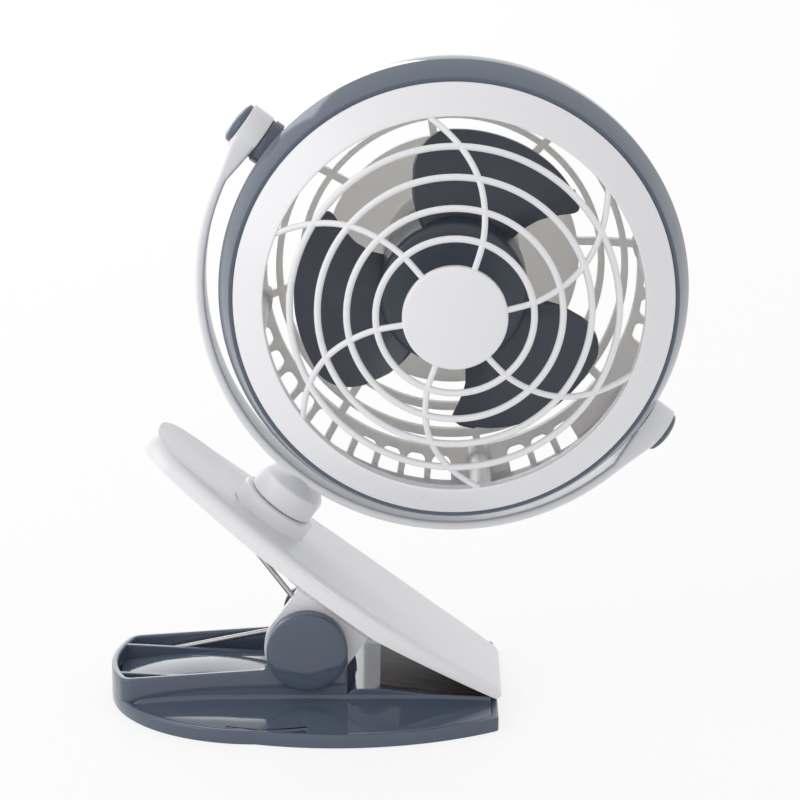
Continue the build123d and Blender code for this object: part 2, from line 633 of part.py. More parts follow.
def jaw_pad():
    """The dark grip pad under the jaw's tip."""
    return jaw_pad_block(0.0, PAD_THICKNESS) & jaw_side(JAW_WALL)


def clip_jaw():
    """The clip's upper half in one moulding."""
    near = (1, JAW_EAR_RADIUS, 0.0, JAW_NECK_BLEND)
    far = (-1, JAW_FAR_EAR_RADIUS, JAW_NECK_TAPER, 0.0)
    body = jaw_shell()
    for piece in (jaw_ear(*near), jaw_ear(*far), jaw_gusset(*near), jaw_gusset(*far), collar()):
        body = body + piece
    body = body + (jaw_pad_block(PAD_THICKNESS, JAW_SKIRT_MIDDLE) & jaw_side(JAW_WALL / 2))
    body = body - bar(SPIGOT_RADIUS + PIN_CLEARANCE, (0, COLLAR_TOP + 1, 0), (0, -FAR, 0))
    pin = PIN_RADIUS + PIN_CLEARANCE
    return body - bar(pin, (HINGE_POINT.X, HINGE_POINT.Y, -FAR), (HINGE_POINT.X, HINGE_POINT.Y, FAR))


# ---------------------------------------------------------------- spring
def biarc(start, start_way, end, end_way):
    """Two tangent arcs from one point and direction to another."""
    chord, ways = end - start, start_way + end_way
    spread = 2 * (1 - start_way.dot(end_way))
    reach = -chord.dot(ways) + math.sqrt(chord.dot(ways) ** 2 + spread * chord.dot(chord))
    reach = reach / spread
    joint = (start + start_way * reach + end - end_way * reach) * 0.5
    first = TangentArc(start, joint, tangent=start_way)
    return [first, TangentArc(joint, end, tangent=first % 1)]


def coil_point(angle, y):
    """Point on the coil's middle line, with the angle in degrees from +X up to +Z."""
    turn = math.radians(angle)
    return Vector(COIL_RADIUS * math.cos(turn), y, HINGE_HEIGHT + COIL_RADIUS * math.sin(turn))


def coil_way(angle, rise):
    """Direction along the coil, where rise is its climb along Y over one turn."""
    turn = math.radians(angle)
    around_turn = 2 * math.pi * COIL_RADIUS
    return Vector(-math.sin(turn), rise / around_turn, math.cos(turn)).normalized()


def coil_edges(start_angle, end_angle, start_y, rise):
    """Half turns of a coil, each made of two tangent arcs."""
    steps = max(1, round(abs(end_angle - start_angle) / 90.0))
    angles = [start_angle + (end_angle - start_angle) * k / steps for k in range(steps + 1)]
    edges = []
    for low, high in zip(angles, angles[1:]):
        y_low = start_y + rise * (low - start_angle) / 360.0
        y_high = start_y + rise * (high - start_angle) / 360.0
        edges += biarc(coil_point(low, y_low), coil_way(low, rise),
                       coil_point(high, y_high), coil_way(high, rise))
    return edges


def wire_along(edges):
    """Round wire swept along joined edges."""
    path = Wire(edges)
    first = edges[0]
    section = Plane(origin=first @ 0, z_dir=first % 0) * Circle(WIRE_RADIUS)
    return sweep(section, path=path)


COIL_RISE = 2 * WIRE_RADIUS + COIL_GAP
UPPER_LEG_Y = -(JAW_EAR_INNER - GAP - WIRE_RADIUS)
UPPER_LEG_ANGLE = STEM_LEAN  # degrees round the coil where the upper leg leaves it


def spring_coil():
    """The coil on the hinge and the leg that lies in the handle."""
    start_y = UPPER_LEG_Y + COIL_RISE * (COIL_TURNS + 1)
    coil = coil_edges(270.0, 270.0 + 360.0 * COIL_TURNS, start_y, -COIL_RISE)
    bend, end = Vector(*LOWER_LEG_BEND), Vector(*LOWER_LEG_END)
    join = biarc(bend, (bend - end).normalized(), coil[0] @ 0, coil[0] % 0)
    return wire_along([Line(end, bend)] + join + coil)


def spring_self_gap():
    """Least distance between neighbouring turns of the coil's wire."""
    return COIL_RISE * math.cos(math.atan(COIL_RISE / (2 * math.pi * COIL_RADIUS))) - 2 * WIRE_RADIUS


def upper_leg_end(leave, way):
    """Where the upper leg, heading a given way, meets the jaw's underside."""
    start = HEAD.to_local_coords(leave)
    step = HEAD.to_local_coords(leave + way) - start
    length = 0.0
    for _ in range(20):
        underside = jaw_underside(start.X + length * step.X, abs(start.Z) - WIRE_RADIUS)
        length = (underside - WIRE_RADIUS - start.Y) / step.Y
    return leave + way * length


def spring_upper_leg():
    """The part turn and leg that push up the jaw's handle."""
    edges = coil_edges(UPPER_LEG_ANGLE - UPPER_LEG_TURN, UPPER_LEG_ANGLE, UPPER_LEG_Y, 0.0)
    leave = edges[-1]
    return wire_along(edges + [Line(leave @ 1, upper_leg_end(leave @ 1, leave % 1))])


# ---------------------------------------------------------------- yoke, in the head's frame
def yoke_taper(side):
    """The part of the half ring that thickens towards one end."""
    turn = math.radians(YOKE_END_TAPER)
    start, drop = WASHER_OUTER + GAP, YOKE_END_SHOULDER
    inner = (YOKE_INNER_RADIUS * math.cos(turn), -YOKE_INNER_RADIUS * math.sin(turn))
    outer = (YOKE_OUTER_RADIUS * math.cos(turn), -YOKE_OUTER_RADIUS * math.sin(turn))
    corners = ((start, 0), (YOKE_END_FACE, 0), (YOKE_END_FACE, -drop), outer, inner, (start, -drop))
    face = make_face(Polyline(*[(side * x, y) for x, y in corners], close=True))
    return extrude(face, YOKE_WIDTH / 2, both=True)


def yoke_neck():
    """The round neck, with a sloping shoulder up to the half ring."""
    shoulder = -YOKE_OUTER_RADIUS - NECK_TAPER
    root = -YOKE_OUTER_RADIUS + YOKE_THICKNESS / 2
    outline = Polyline((0, root), (YOKE_WIDTH / 2 - YOKE_ROUNDING, root), (NECK_RADIUS, shoulder),
                       (NECK_RADIUS, COLLAR_TOP + GAP), (SPIGOT_RADIUS, COLLAR_TOP + GAP),
                       (SPIGOT_RADIUS, spigot_end()), (0, spigot_end()), close=True)
    return revolve(make_face(outline), Axis.Y)


def yoke():
    """The half ring that holds the head, with its two ends and its neck."""
    centre = YOKE_INNER_RADIUS + YOKE_THICKNESS / 2
    section = Plane.XZ * (Pos(centre, 0) * RectangleRounded(YOKE_THICKNESS, YOKE_WIDTH, YOKE_ROUNDING))
    body = Rot(0, 0, 180) * revolve(section, Axis.Z, 180) + yoke_neck()
    for side in (-1, 1):
        body = body + bar(YOKE_END_RADIUS, (side * (WASHER_OUTER + GAP), 0, 0), (side * YOKE_END_FACE, 0, 0))
        body = body + yoke_taper(side)
    for side in (-1, 1):
        body = body - bar(PIVOT_SCREW_RADIUS + PIN_CLEARANCE, (0, 0, 0), (side * FAR, 0, 0))
        pocket = PIVOT_HEAD_HEIGHT + GAP + PIVOT_WASHER_THICKNESS
        body = body - bar(PIVOT_HEAD_RADIUS + GAP, (side * (YOKE_END_FACE - pocket), 0, 0), (side * FAR, 0, 0))
    return body - bar(SWIVEL_SCREW_RADIUS, (0, -YOKE_OUTER_RADIUS - SWIVEL_SCREW_END / 2, 0), (0, -FAR, 0))


def spigot_end():
    """Lower end of the yoke's spigot, just below the jaw's boss."""
    return -JAW_DROP - COLLAR_BOSS_DEPTH - GAP


def swivel_washer():
    """Washer that keeps the yoke from lifting out of the jaw."""
    return bar(SWIVEL_WASHER_RADIUS, (0, spigot_end(), 0),
               (0, spigot_end() - SWIVEL_WASHER_THICKNESS, 0), SWIVEL_SCREW_RADIUS + PIN_CLEARANCE)


def swivel_screw():
    """Screw up into the yoke's spigot."""
    seat = spigot_end() - SWIVEL_WASHER_THICKNESS
    head = bar(SWIVEL_HEAD_RADIUS, (0, seat, 0), (0, seat - SWIVEL_HEAD_HEIGHT, 0))
    shank = bar(SWIVEL_SCREW_RADIUS - PIN_CLEARANCE / 2, (0, seat, 0),
                (0, -YOKE_OUTER_RADIUS - SWIVEL_SCREW_END, 0))
    return head + shank


def pivot_screw(side):
    """Screw through one end of the yoke into the middle ring."""
    head_seat = YOKE_END_FACE - PIVOT_HEAD_HEIGHT - PIVOT_WASHER_THICKNESS
    head = bar(PIVOT_HEAD_RADIUS, (side * head_seat, 0, 0), (side * (head_seat + PIVOT_HEAD_HEIGHT), 0, 0))
    shank = bar(PIVOT_SCREW_RADIUS, (side * head_seat, 0, 0), (side * (RING_BOSS_INNER + 1), 0, 0))
    return head + shank


def pivot_washer(side):
    """Dark friction washer between the yoke's end and the middle ring."""
    return bar(YOKE_END_RADIUS - PIVOT_WASHER_THICKNESS, (side * RING_SEAT_FACE, 0, 0),
               (side * WASHER_OUTER, 0, 0), PIVOT_SCREW_RADIUS + PIN_CLEARANCE)


def pivot_cap(side):
    """Domed cap on one end of the yoke."""
    bulge = PIVOT_CAP_HEIGHT - PIVOT_WASHER_THICKNESS
    dome_radius = (PIVOT_CAP_RADIUS ** 2 + bulge ** 2) / (2 * bulge)
    drum = tube(PIVOT_CAP_RADIUS, 0, 0, PIVOT_CAP_HEIGHT)
    dome = Pos(0, 0, PIVOT_CAP_HEIGHT - dome_radius) * Sphere(dome_radius)
    return Pos(side * YOKE_END_FACE, 0, 0) * Rot(0, side * 90, 0) * (drum & dome)


# ---------------------------------------------------------------- front grille, in the head's frame
FRONT_DOME_CENTRE = FRONT_APEX - FRONT_DOME_RADIUS


def front_height(radius, inset=0.0):
    """Height of the front dome at a radius from the fan's axis."""
    return FRONT_DOME_CENTRE + math.sqrt((FRONT_DOME_RADIUS - inset) ** 2 - radius ** 2)


def rod_point(radius, angle):
    """Point on the middle line of the dome's rods."""
    return (*polar(radius, angle), front_height(radius, ROD_INSET))


def bezel():
    """The broad outer band, its rounded inner lip and the skirt inside the middle ring."""
    outer, inner = BEZEL_OUTER_RADIUS, BEZEL_INNER_RADIUS
    middle = (outer + inner) / 2
    lip = inner + BEZEL_THICKNESS
    skirt = outer - SKIRT_WALL
    face = ThreePointArc((inner, front_height(inner)), (middle, front_height(middle)),
                         (outer, front_height(outer)))
    back = ThreePointArc((skirt, front_height(skirt, BEZEL_THICKNESS)),
                         (middle, front_height(middle, BEZEL_THICKNESS)),
                         (lip, front_height(lip, BEZEL_THICKNESS)))
    lip_low = front_height(inner) - BEZEL_LIP_DEPTH
    flange_top = SKIRT_REAR + SKIRT_FLANGE
    outside = Polyline(face @ 1, (outer, flange_top), (RING_BORE - SEAT_GAP, flange_top),
                       (RING_BORE - SEAT_GAP, SKIRT_REAR), (skirt, SKIRT_REAR), back @ 0)
    inside = Polyline(back @ 1, (lip, lip_low), (inner, lip_low), face @ 0)
    return turned(face, outside, back, inside)


def spoke(angle):
    """One swirling spoke; an arc through three points of a sphere lies on the sphere."""
    path = ThreePointArc(rod_point(BADGE_RADIUS - SPOKE_ROD_RADIUS, angle),
                         rod_point(SPOKE_MID_RADIUS, angle + SPOKE_MID_SWEEP),
                         rod_point(BEZEL_INNER_RADIUS + SPOKE_ROD_RADIUS, angle + SPOKE_END_SWEEP))
    return sweep(Plane(origin=path @ 0, z_dir=path % 0) * Circle(SPOKE_ROD_RADIUS), path=path)


def badge():
    """The plain disc in the middle of the front grille."""
    top = front_height(0)
    edge = front_height(BADGE_RADIUS)
    crown = ThreePointArc((0, top), (BADGE_RADIUS / 2, front_height(BADGE_RADIUS / 2)), (BADGE_RADIUS, edge))
    return turned(crown, Polyline(crown @ 1, (BADGE_RADIUS, edge - BADGE_THICKNESS),
                                  (0, edge - BADGE_THICKNESS), crown @ 0))


def front_grille():
    """The domed guard: disc, rings, spokes, band and screw posts in one moulding."""
    rings = [Pos(0, 0, front_height(radius, ROD_INSET)) * Torus(radius, ROD_RADIUS) for radius in RING_RADII]
    spokes = [spoke(SPOKE_START_ANGLE + 360.0 * k / SPOKE_COUNT) for k in range(SPOKE_COUNT)]
    body = bezel().fuse(badge(), *rings, *spokes)
    post_top = front_height(POST_CIRCLE_RADIUS, BEZEL_THICKNESS / 2) - POST_RADIUS
    post = Pos(POST_CIRCLE_RADIUS, 0, 0) * tube(POST_RADIUS, CASE_SCREW_RADIUS + SEAT_GAP / 2,
                                                CASE_BOSS_TOP, post_top)
    for copy in around(post, POST_COUNT, 180.0 / POST_COUNT):
        body = body + copy
    return body


# ---------------------------------------------------------------- middle ring, in the head's frame
def middle_ring():
    """The barrel-shaped ring between the grilles, with the seats for the tilt pivots."""
    outside = ThreePointArc((RING_FRONT_RADIUS, RING_FRONT), (RING_MAX_RADIUS, RING_MAX_HEIGHT),
                            (RING_REAR_RADIUS, RING_REAR))
    lip = BEZEL_OUTER_RADIUS + SEAT_GAP
    bead = RING_BORE - RING_BEAD_WIDTH
    step = SKIRT_REAR + SKIRT_FLANGE
    inside = Polyline(outside @ 1, (RING_BORE, RING_REAR), (RING_BORE, REAR_RIM_TOP),
                      (bead, REAR_RIM_TOP), (bead, REAR_RIM_TOP + RING_BEAD_WIDTH),
                      (RING_BORE, REAR_RIM_TOP + RING_BEAD_WIDTH), (RING_BORE, step),
                      (lip, step), (lip, RING_FRONT), outside @ 0)
    body = turned(outside, inside)
    for side in (-1, 1):
        body = body + bar(YOKE_END_RADIUS, (side * RING_BORE, 0, 0), (side * RING_SEAT_FACE, 0, 0))
        body = body + bar(RING_BOSS_RADIUS, (side * RING_BOSS_INNER, 0, 0), (side * (RING_BORE + 1), 0, 0))
        body = body - bar(PIVOT_SCREW_RADIUS + PIN_CLEARANCE / 2, (side * (RING_BOSS_INNER - 1), 0, 0),
                          (side * FAR, 0, 0))
    return body


# ---------------------------------------------------------------- rear grille, in the head's frame
def rear_height(radius, inset=0.0):
    """Height of the rear dome at a radius from the fan's axis."""
    return REAR_DOME_CENTRE - math.sqrt((REAR_DOME_RADIUS - inset) ** 2 - radius ** 2)


def rear_shell():
    """The rear dome with the rim that goes inside the middle ring."""
    rim, bore = RING_BORE - 2 * SEAT_GAP, REAR_RIM_RADIUS - REAR_WALL + SEAT_GAP
    half = REAR_RIM_RADIUS / 2
    outer = ThreePointArc((0, rear_height(0)), (half, rear_height(half)),
                          (REAR_RIM_RADIUS, rear_height(REAR_RIM_RADIUS)))
    inner = ThreePointArc((bore, rear_height(bore, REAR_WALL)), (half, rear_height(half, REAR_WALL)),
                          (0, rear_height(0, REAR_WALL)))
    edge = Polyline(outer @ 1, (rim, rear_height(REAR_RIM_RADIUS)), (rim, REAR_RIM_TOP),
                    (bore, REAR_RIM_TOP), inner @ 0)
    return turned(outer, edge, inner, Line(inner @ 1, outer @ 0))


def rear_gaps():
    """Ring-shaped openings between the bars, less the spokes that cross them."""
    half = REAR_BAR_WIDTH / 2
    edges = [BOWL_RADIUS]
    for radius in REAR_RING_RADII:
        edges += [radius - half, radius + half]
    edges.append(WINDOW_INNER_RADIUS - REAR_BAR_WIDTH)
    gaps = [tube(high, low, -FAR, 0) for low, high in zip(edges[::2], edges[1::2])]
    spokes = [slab(2 * FAR, REAR_SPOKE_WIDTH, 3 * FAR, (0, 0, 0))]
    spokes = [Rot(0, 0, 360.0 * k / REAR_SPOKE_COUNT) * spokes[0] for k in range(REAR_SPOKE_COUNT // 2)]
    opened = []
    for gap in gaps:
        for bar_slab in spokes:
            gap = gap - bar_slab
        opened.append(gap)
    return opened


def window_angles():
    """Where the rim has a window: everywhere but round the pivots and the posts."""
    angles = []
    for k in range(WINDOW_PITCHES):
        angle = 360.0 * (k + 0.5) / WINDOW_PITCHES
        from_pivot = abs((angle + 90.0) % 180.0 - 90.0)
        from_post = abs(angle % POST_PITCH - POST_PITCH / 2)
        if from_pivot > WINDOW_BLANK_PIVOT and from_post > WINDOW_BLANK_POST:
            angles.append(angle)
    return angles


def window_cutter():
    """One window, lying on the x axis, narrower and rounded at its inner end."""
    outer, inner = WINDOW_WIDTH / 2, (WINDOW_WIDTH - WINDOW_TAPER) / 2
    plan = make_face(Polyline((WINDOW_INNER_RADIUS, -inner), (WINDOW_OUTER_RADIUS, -outer),
                              (WINDOW_OUTER_RADIUS, outer), (WINDOW_INNER_RADIUS, inner), close=True))
    plan = fillet(plan.vertices().sort_by(Axis.X)[:2], WINDOW_CORNER)
    low = rear_height(WINDOW_INNER_RADIUS) - 1
    return Pos(0, 0, low) * extrude(plan, rear_height(REAR_RIM_RADIUS, REAR_WALL) - low)


def motor_seat():
    """The short tube in the bowl that the motor stands in."""
    bore = MOTOR_RADIUS + SEAT_GAP
    wall = tube(bore + MOTOR_SEAT_WALL, bore, rear_height(0), MOTOR_SEAT_TOP)
    return wall + tube(bore + 1, MOTOR_RADIUS - 2 * MOTOR_SEAT_WALL, MOTOR_REAR - MOTOR_SEAT_LEDGE, MOTOR_REAR)


def board_pegs():
    """Pegs that hold the circuit board off the bowl."""
    x = BOARD_LENGTH / 2 - 2 * BOARD_PEG_RADIUS
    peg = tube(BOARD_PEG_RADIUS, 0, rear_height(0), BOARD_HEIGHT)
    return [Pos(sx * x, 0, 0) * peg for sx in (-1, 1)]


def rear_grille():
    """The rear dome: closed bowl, rings, spokes, windows, motor seat and screw bosses."""
    body = rear_shell()
    for gap in rear_gaps():
        body = body - gap
    cutter = window_cutter()
    for angle in window_angles():
        body = body - Rot(0, 0, angle) * cutter
    inside = Pos(0, 0, REAR_DOME_CENTRE) * Sphere(REAR_DOME_RADIUS - REAR_WALL / 4)
    boss = Pos(POST_CIRCLE_RADIUS, 0, 0) * tube(CASE_BOSS_RADIUS, 0, rear_height(0), CASE_BOSS_TOP)
    for extra in around(boss, POST_COUNT, 180.0 / POST_COUNT) + [motor_seat()] + board_pegs():
        body = body + (extra & inside)
    for side in (-1, 1):
        body = body - bar(RING_BOSS_RADIUS + GAP, (side * (RING_BOSS_INNER - 1), 0, 0), (side * FAR, 0, 0))
    floor = CASE_BOSS_TOP - CASE_FLOOR_THICKNESS
    hole = tube(CASE_SCREW_RADIUS + SEAT_GAP, 0, -FAR, CASE_BOSS_TOP + REAR_WALL)
    hole = hole + tube(CASE_HEAD_RADIUS + 2 * SEAT_GAP, 0, -FAR, floor)
    for copy in around(Pos(POST_CIRCLE_RADIUS, 0, 0) * hole, POST_COUNT, 180.0 / POST_COUNT):
        body = body - copy
    body = body - Pos(0, BUTTON_OFFSET, 0) * tube(BUTTON_RADIUS + GAP, 0, -FAR, BOARD_HEIGHT)
    return body - Pos(0, INLET_OFFSET, 0) * tube(INLET_RADIUS + SEAT_GAP, 0, -FAR, BOARD_HEIGHT)


def case_screws():
    """The four screws that draw the two grilles together on the middle ring."""
    seat = CASE_BOSS_TOP - CASE_FLOOR_THICKNESS
    head = tube(CASE_HEAD_RADIUS, 0, seat - CASE_HEAD_HEIGHT, seat)
    screw = head + tube(CASE_SCREW_RADIUS, 0, seat, seat + CASE_SCREW_LENGTH)
    return around(Pos(POST_CIRCLE_RADIUS, 0, 0) * screw, POST_COUNT, 180.0 / POST_COUNT)


# ---------------------------------------------------------------- motor, in the head's frame
def motor_can():
    """Drawn steel can, open to the front."""
    body = tube(MOTOR_RADIUS, 0, MOTOR_REAR, MOTOR_FRONT)
    body = body - tube(MOTOR_RADIUS - MOTOR_WALL, 0, MOTOR_REAR + MOTOR_WALL, MOTOR_FRONT + 1)
    return body - tube(BEARING_RADIUS + SEAT_GAP / 4, 0, MOTOR_REAR - 1, MOTOR_FRONT)


def motor_end_cap():
    """End plate that closes the can and holds the front bearing."""
    return tube(MOTOR_RADIUS - MOTOR_WALL - SEAT_GAP / 2, BEARING_RADIUS + SEAT_GAP / 4,
                MOTOR_FRONT - 2 * MOTOR_WALL, MOTOR_FRONT)


def motor_magnets():
    """Two magnet shells inside the can."""
    outer = MOTOR_RADIUS - MOTOR_WALL - SEAT_GAP / 2
    ring = tube(outer, outer - MAGNET_THICKNESS, armature_low(), armature_low() + ARMATURE_LENGTH)
    return ring - slab(4 * MAGNET_THICKNESS, 2 * FAR, 2 * FAR, (0, 0, 0))


def armature_low():
    """Rear end of the armature, midway along the can."""
    return (MOTOR_REAR + MOTOR_FRONT - ARMATURE_LENGTH) / 2


def bearing(height):
    """Sintered bush with its middle at a height."""
    return tube(BEARING_RADIUS, SHAFT_RADIUS + PIN_CLEARANCE, height - BEARING_LENGTH / 2,
                height + BEARING_LENGTH / 2)


def armature():
    """Wound armature on the shaft, with three poles."""
    body = tube(ARMATURE_RADIUS, SHAFT_RADIUS, armature_low(), armature_low() + ARMATURE_LENGTH)
    slot = slab(ARMATURE_RADIUS, 2 * SHAFT_RADIUS, FAR, (ARMATURE_RADIUS, 0, 0))
    for copy in around(slot, BLADE_COUNT):
        body = body - copy
    return body


def motor_shaft():
    """Steel shaft from the rear bearing to the impeller's boss."""
    return tube(SHAFT_RADIUS, 0, MOTOR_REAR + GAP, HUB_FRONT - HUB_WALL - 1)


# ---------------------------------------------------------------- impeller, in the head's frame
def hub():
    """Cup-shaped hub with its boss for the shaft."""
    front, inner = HUB_FRONT - HUB_WALL, HUB_RADIUS - HUB_WALL
    cup = tube(HUB_RADIUS, 0, HUB_REAR, HUB_FRONT)
    cup = fillet(cup.edges().sort_by(Axis.Z)[-1], HUB_ROUNDING)
    cup = cup - tube(inner, 0, HUB_REAR - 1, front)
    boss = tube(HUB_BOSS_RADIUS, 0, MOTOR_FRONT + 2 * GAP + 1, front + HUB_WALL / 2)
    return (cup + boss) - tube(SHAFT_RADIUS + PIN_CLEARANCE / 5, 0, 0, front - 1)


def blade_height(share):
    """Height along the fan's axis at a share of the way round a blade."""
    return BLADE_REAR + (BLADE_FRONT - BLADE_REAR) * (share + 0.12 * math.sin(2 * math.pi * share))


def blade_sheet():
    """A twisted sheet, wider than the blade, lofted through radial sections."""
    sections = []
    steps = 6
    for k in range(-1, steps + 2):
        share = k / steps
        z = blade_height(share)
        tip_z = z + 0.06 * (BLADE_FRONT - BLADE_REAR) * (1 - 2 * share)
        inner, outer, half = HUB_RADIUS - HUB_WALL / 2, BLADE_TIP_RADIUS + 2, BLADE_THICKNESS / 2
        face = make_face(Polyline((inner, z - half), (outer, tip_z - half),
                                  (outer, tip_z + half), (inner, z + half), close=True))
        sections.append(Rot(0, 0, BLADE_START_ANGLE + BLADE_SPAN * share) * (Plane.XZ * face))
    return loft(sections)


def blade_plan():
    """Outline of a blade seen along the fan's axis, from the hub to the rounded tip."""
    start = BLADE_START_ANGLE
    end = BLADE_START_ANGLE + BLADE_SPAN
    root = HUB_RADIUS - HUB_WALL / 2
    tip_start = polar(BLADE_HEEL_RADIUS, start - 9.0)
    tip_end = polar(BLADE_TIP_RADIUS, end - 10.0)
    tip = ThreePointArc(tip_start, polar(BLADE_TIP_RADIUS, (start + end) / 2 - 10.0), tip_end)
    heel = ThreePointArc(polar(root, start), polar((root + BLADE_TIP_RADIUS) / 2, start - 1.0), tip_start)
    toe = ThreePointArc(tip_end, polar((root + BLADE_TIP_RADIUS) / 2, end - 2.0), polar(root, end))
    inner = ThreePointArc(toe @ 1, polar(root, (start + end) / 2), heel @ 0)
    plan = make_face([heel, tip, toe, inner])
    corner = min(plan.vertices(), key=lambda v: (Vector(v.X, v.Y) - Vector(*tip_end)).length)
    plan = fillet(corner, BLADE_TIP_CORNER)
    corner = min(plan.vertices(), key=lambda v: (Vector(v.X, v.Y) - Vector(*tip_start)).length)
    return fillet(corner, BLADE_HEEL_CORNER)


def impeller():
    """Hub and blades in one moulding."""
    blade = blade_sheet() & extrude(blade_plan(), FAR / 4)
    body = hub()
    for copy in around(blade, BLADE_COUNT):
        body = body + copy
    return body


# ---------------------------------------------------------------- controls, in the head's frame
def circuit_board():
    """Board that carries the switch and the power inlet."""
    return slab(BOARD_LENGTH, BOARD_WIDTH + BUTTON_OFFSET, BOARD_THICKNESS,
                (0, 0, BOARD_HEIGHT + BOARD_THICKNESS / 2))


def switch_body():
    """Push switch on the board's rear face."""
    return slab(2 * BUTTON_RADIUS, 1.6 * BUTTON_RADIUS, 3.0, (0, BUTTON_OFFSET, BOARD_HEIGHT - 1.5))


def switch_button():
    """Button that stands out of the bowl at the rear."""
    high = BOARD_HEIGHT - 3.0 - BUTTON_TRAVEL - GAP
    low = rear_height(BUTTON_OFFSET) - BUTTON_PROUD
    button = Pos(0, BUTTON_OFFSET, 0) * tube(BUTTON_RADIUS, 0, low, high)
    return fillet(button.edges().sort_by(Axis.Z)[0], BUTTON_RADIUS / 6)


def power_inlet():
    """Round low-voltage inlet in the bowl, with its centre pin."""
    low = rear_height(INLET_OFFSET)
    body = tube(INLET_RADIUS, 0, low, BOARD_HEIGHT) - tube(INLET_BORE, 0, low - 1, low + INLET_DEPTH)
    return Pos(0, INLET_OFFSET, 0) * body


# ---------------------------------------------------------------- every piece to its file
def in_head(solid):
    """Carry a piece from the head's frame to its place."""
    return HEAD * solid


def export_clip():
    """The clip's own pieces."""
    save(base_jaw(), "base_jaw")
    save(base_pad(), "base_pad")
    pads = [Pos(x, y, 0) * tube(FOOT_PAD_RADIUS, 0, 0, FOOT_PAD_DEPTH) for x, y in foot_pad_places()]
    save_group(pads, "foot_pads")
    save(hinge_bar(PIN_RADIUS, -CHANNEL_HALF_WIDTH, CHANNEL_HALF_WIDTH), "hinge_pin")
    sleeve = COIL_RADIUS - WIRE_RADIUS - PIN_CLEARANCE
    save(hinge_bar(sleeve, -JAW_EAR_INNER + GAP, JAW_EAR_INNER - GAP, PIN_RADIUS + PIN_CLEARANCE), "spring_sleeve")
    save(hinge_cap(-1, EAR_RADIUS), "hinge_cap_near")
    save(hinge_cap(1, FAR_EAR_RADIUS - CAP_CHAMFER), "hinge_cap_far")
    save(spring_coil(), "spring_coil")
    save(spring_upper_leg(), "spring_upper_leg")
    save(in_head(clip_jaw()), "clip_jaw")
    save(in_head(jaw_pad()), "jaw_pad")


def export_yoke():
    """The yoke and what holds it."""
    save(in_head(yoke()), "yoke")
    save(in_head(swivel_washer()), "swivel_washer")
    save(in_head(swivel_screw()), "swivel_screw")
    for side, name in ((-1, "left"), (1, "right")):
        save(in_head(pivot_screw(side)), "pivot_screw_" + name)
        save(in_head(pivot_washer(side)), "pivot_washer_" + name)
        save(in_head(pivot_cap(side)), "pivot_cap_" + name)


def export_head():
    """The fan head's fixed and turning pieces."""
    pieces = {
        "front_grille": front_grille(), "middle_ring": middle_ring(), "rear_grille": rear_grille(),
        "motor_can": motor_can(), "motor_end_cap": motor_end_cap(),
        "bearing_front": bearing(MOTOR_FRONT - BEARING_LENGTH / 4),
        "bearing_rear": bearing(MOTOR_REAR + BEARING_LENGTH / 2),
        "armature": armature(), "motor_shaft": motor_shaft(), "impeller": impeller(),
        "circuit_board": circuit_board(), "switch_body": switch_body(),
        "switch_button": switch_button(), "power_inlet": power_inlet(),
    }
    for name, solid in pieces.items():
        save(in_head(solid), name)
    save_group([in_head(s) for s in motor_magnets().solids()], "motor_magnets")
    save_group([in_head(s) for s in case_screws()], "case_screws")


print("least gap between the spring's turns:", round(spring_self_gap(), 2), "mm")
export_clip()
export_yoke()
export_head()
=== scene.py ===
"""Clip fan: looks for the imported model, laid out as a Blender add-on and run as a script."""

import json
import math

import bmesh
import bpy
from bpy.props import FloatProperty, FloatVectorProperty, IntProperty, PointerProperty
from mathutils import Matrix, Vector

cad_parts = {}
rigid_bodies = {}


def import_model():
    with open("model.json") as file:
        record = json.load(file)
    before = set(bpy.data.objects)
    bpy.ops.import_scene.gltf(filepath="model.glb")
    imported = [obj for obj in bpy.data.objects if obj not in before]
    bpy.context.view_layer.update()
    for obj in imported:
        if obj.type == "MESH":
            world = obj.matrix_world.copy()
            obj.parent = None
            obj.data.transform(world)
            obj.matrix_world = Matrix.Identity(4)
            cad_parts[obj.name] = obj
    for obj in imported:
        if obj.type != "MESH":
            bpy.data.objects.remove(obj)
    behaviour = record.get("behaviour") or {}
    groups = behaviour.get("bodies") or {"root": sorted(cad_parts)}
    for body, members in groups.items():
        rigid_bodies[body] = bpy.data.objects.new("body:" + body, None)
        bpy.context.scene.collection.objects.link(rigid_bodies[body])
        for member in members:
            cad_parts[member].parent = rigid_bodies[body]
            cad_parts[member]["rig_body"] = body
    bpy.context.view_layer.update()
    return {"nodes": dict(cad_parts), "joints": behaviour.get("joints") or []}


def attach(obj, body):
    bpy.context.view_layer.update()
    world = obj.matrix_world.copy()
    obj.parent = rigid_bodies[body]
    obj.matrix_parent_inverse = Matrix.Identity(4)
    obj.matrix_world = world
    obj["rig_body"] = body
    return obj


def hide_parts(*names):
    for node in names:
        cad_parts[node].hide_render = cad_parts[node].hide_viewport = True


bl_info = {
    "name": "Clip Fan",
    "version": (1, 0, 0),
    "blender": (4, 5, 0),
    "location": "View3D > Sidebar > Clip Fan",
    "description": "Builds the pieces and finishes of a small clip fan round its packed model",
    "category": "Add Mesh",
}

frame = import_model()
NODES = frame["nodes"]
JOINTS = {joint["name"]: joint for joint in frame["joints"]}

MM = 0.001
# The head's own axes: x along the tilt axis, y up the stem and z the way the fan blows.
PIVOT = Vector(JOINTS["head_tilt"]["pos_m"])
TILT = Vector(JOINTS["head_tilt"]["axis"])
STEM = Vector(JOINTS["yoke_swivel"]["axis"])
BLOW = TILT.cross(STEM)
HEAD = Matrix.Translation(PIVOT) @ Matrix((TILT, STEM, BLOW)).transposed().to_4x4()
HINGE = Vector(JOINTS["clip_hinge"]["pos_m"])


